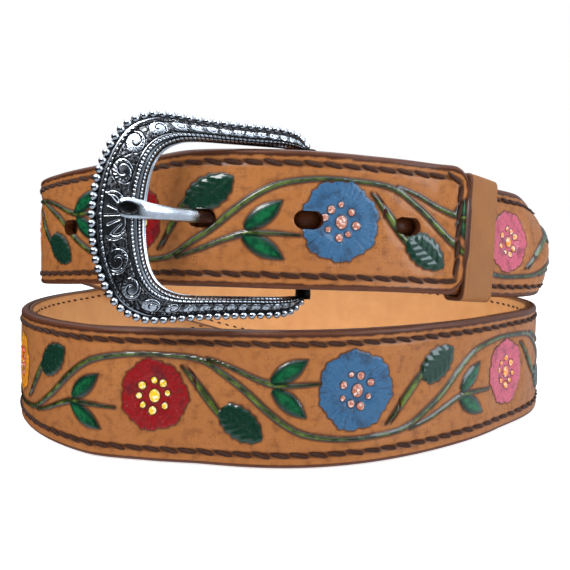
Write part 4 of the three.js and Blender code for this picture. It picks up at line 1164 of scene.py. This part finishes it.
# %% The tongue's eye round the bar
def tongue_eye():
    rows, sides = 6, 36
    a = np.linspace(0, 2 * math.pi, sides, endpoint=False)[None, :]
    y = np.linspace(-2.5, 2.5, rows)[:, None]
    loops = []
    for radius, order in ((BAR_RADIUS + 1.65, 1), (BAR_RADIUS + 0.35, -1)):
        rim = radius + 0 * y
        loops.append(np.stack([rim * np.cos(a), (y + TONGUE[0, 2] * TONGUE_WIDTH)[::order] + 0 * a,
                               rim * np.sin(a)], -1))
    points = np.concatenate(loops)
    faces = grid_faces(2 * rows, sides, round_rows=True, round_columns=True).tolist()
    made = piece("buckle_tongue_eye", on_buckle(points), faces, [POLISHED],
                 {"tarnish_and_shade": 0.1 + 0 * points[..., 0], "place": points})
    return made


tongue_eye()

# %% [markdown]
# ## The posts
# The two hidden posts keep the solids' own shape. They only need a finish: plain turned steel
# with fine scratches, which reads the object's own coordinates because the solid has no marks.

# %% Steel for the posts
def steel():
    n = Nodes("plain_steel")
    where = n.add("ShaderNodeTexCoord").outputs["Object"]
    scratch = n.noise(1800.0, 4, where)
    base = n.mix(scratch, (0.42, 0.41, 0.39, 1), (0.6, 0.59, 0.57, 1))
    return n.finish(Base_Color=base, Metallic=1.0, Roughness=n.steps(scratch, 0.2, 0.8, 0.25, 0.45),
                    Normal=n.bump(scratch, 0.00004, 0.4))


STEEL = steel()
for name in ("flap_post_1", "flap_post_2"):
    for material_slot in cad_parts[name].material_slots:
        material_slot.material = STEEL

# %% [markdown]
# ## Floor, light and camera
# The photograph was taken on white with large soft lights. A pale floor and a white world give
# that, but silver needs something dark to show against. So reflections meet a world of their
# own: dark at eye level, bright overhead, below and at the right, and a little blue. The camera
# sees plain white instead, and other light comes from a dimmer world. The floor glows by itself
# to look white, and is left out of reflections. In plainer light the silver looks brighter.

# %% The floor
FLOOR_HALF, FLOOR_DROP, FLOOR_GLOW = 3.0, 0.0005, 0.72

floor_mesh = bpy.data.meshes.new("floor")
floor_mesh.from_pydata([(x * FLOOR_HALF, y * FLOOR_HALF, 0)
                        for x, y in ((-1, -1), (1, -1), (1, 1), (-1, 1))], [], [(0, 1, 2, 3)])
floor_mesh.materials.append(Nodes("floor").finish(
    Base_Color=(0.93, 0.93, 0.93, 1), Roughness=0.9,
    Emission_Color=(1, 1, 1, 1), Emission_Strength=FLOOR_GLOW))
floor = bpy.data.objects.new("floor", floor_mesh)
floor.location = (0, 0, -FLOOR_DROP)
bpy.context.scene.collection.objects.link(floor)
floor.visible_glossy = False

# %% The world and the lamps
world = bpy.data.worlds.new("studio")
bpy.context.scene.world = world
world.use_nodes = True
links, nodes = world.node_tree.links, world.node_tree.nodes


def world_node(kind, inputs, output=0, **settings):
    node = nodes.new(kind)
    for key, value in settings.items():
        setattr(node, key, value)
    for key, value in inputs.items():
        if isinstance(value, bpy.types.NodeSocket):
            links.new(value, node.inputs[key])
        else:
            node.inputs[key].default_value = value
    return node.outputs[output]


WORLD_LIGHT, WORLD_SEEN = 0.3, 1.0
seen = nodes.new("ShaderNodeLightPath")
sides = nodes.new("ShaderNodeSeparateXYZ")
links.new(nodes.new("ShaderNodeTexCoord").outputs["Generated"], sides.inputs[0])


def brightness(axis, low, high, to_low, to_high):
    """How bright the reflected world is, from one value to another along an axis."""
    return world_node("ShaderNodeMapRange", {
        "Value": sides.outputs[axis], "From Min": low, "From Max": high,
        "To Min": to_low, "To Max": to_high})


above = brightness("Z", 0.25, 0.7, 0.02, 1.7)
below = brightness("Z", -0.75, -0.4, 0.8, 0.0)
right = brightness("X", 0.45, 0.8, 0.0, 0.7)
studio = world_node("ShaderNodeMath", {0: above, 1: right}, operation="MAXIMUM")
studio = world_node("ShaderNodeMath", {0: studio, 1: below}, operation="MAXIMUM")
mirrored = world_node("ShaderNodeMix",
                      {0: seen.outputs["Is Glossy Ray"], 2: WORLD_LIGHT, 3: studio})
strength = world_node("ShaderNodeMix",
                      {0: seen.outputs["Is Camera Ray"], 2: mirrored, 3: WORLD_SEEN})
links.new(strength, nodes["Background"].inputs["Strength"])
tint = world_node("ShaderNodeMix", {0: seen.outputs["Is Glossy Ray"], 6: (1, 1, 1, 1),
                                    7: (0.78, 0.88, 1, 1)}, 2, data_type="RGBA")
links.new(tint, nodes["Background"].inputs["Color"])
LAMP_AIM = Vector((0, 0, 0.05))


def lamp(name, size, energy, centre, colour=(1, 1, 1)):
    data = bpy.data.lights.new(name, "AREA")
    data.shape, data.size, data.size_y = "RECTANGLE", *size
    data.energy, data.color = energy, colour
    made = bpy.data.objects.new(name, data)
    made.location = centre
    made.rotation_euler = (LAMP_AIM - Vector(centre)).to_track_quat("-Z", "Y").to_euler()
    bpy.context.scene.collection.objects.link(made)


lamp("key", (0.4, 0.4), 6.2, (-0.45, -0.7, 0.75))
lamp("fill", (0.5, 0.5), 3.6, (0.75, -0.45, 0.35), (0.8, 0.9, 1))
lamp("top", (0.7, 0.5), 4, (0, 0.1, 0.9))
bpy.context.scene.view_settings.view_transform = "Standard"

# %% The camera, from the photograph's viewing place
# the picture's width, the focal length and the horizon's height over the middle, in pixels
PICTURE, FOCAL, HORIZON = 570, 580, 45
SENSOR = 36
EYE = np.array([0, -257, 63])

camera = bpy.data.cameras.new("camera")
camera.sensor_fit, camera.sensor_width = "HORIZONTAL", SENSOR
camera.lens = FOCAL / PICTURE * SENSOR
camera.shift_y = -HORIZON / PICTURE
camera.clip_start = 0.01
eye = bpy.data.objects.new("camera", camera)
eye.location = ((EYE + SHIFT) * MM).tolist()
eye.rotation_euler = (math.pi / 2, 0, 0)
bpy.context.scene.collection.objects.link(eye)
bpy.context.scene.camera = eye
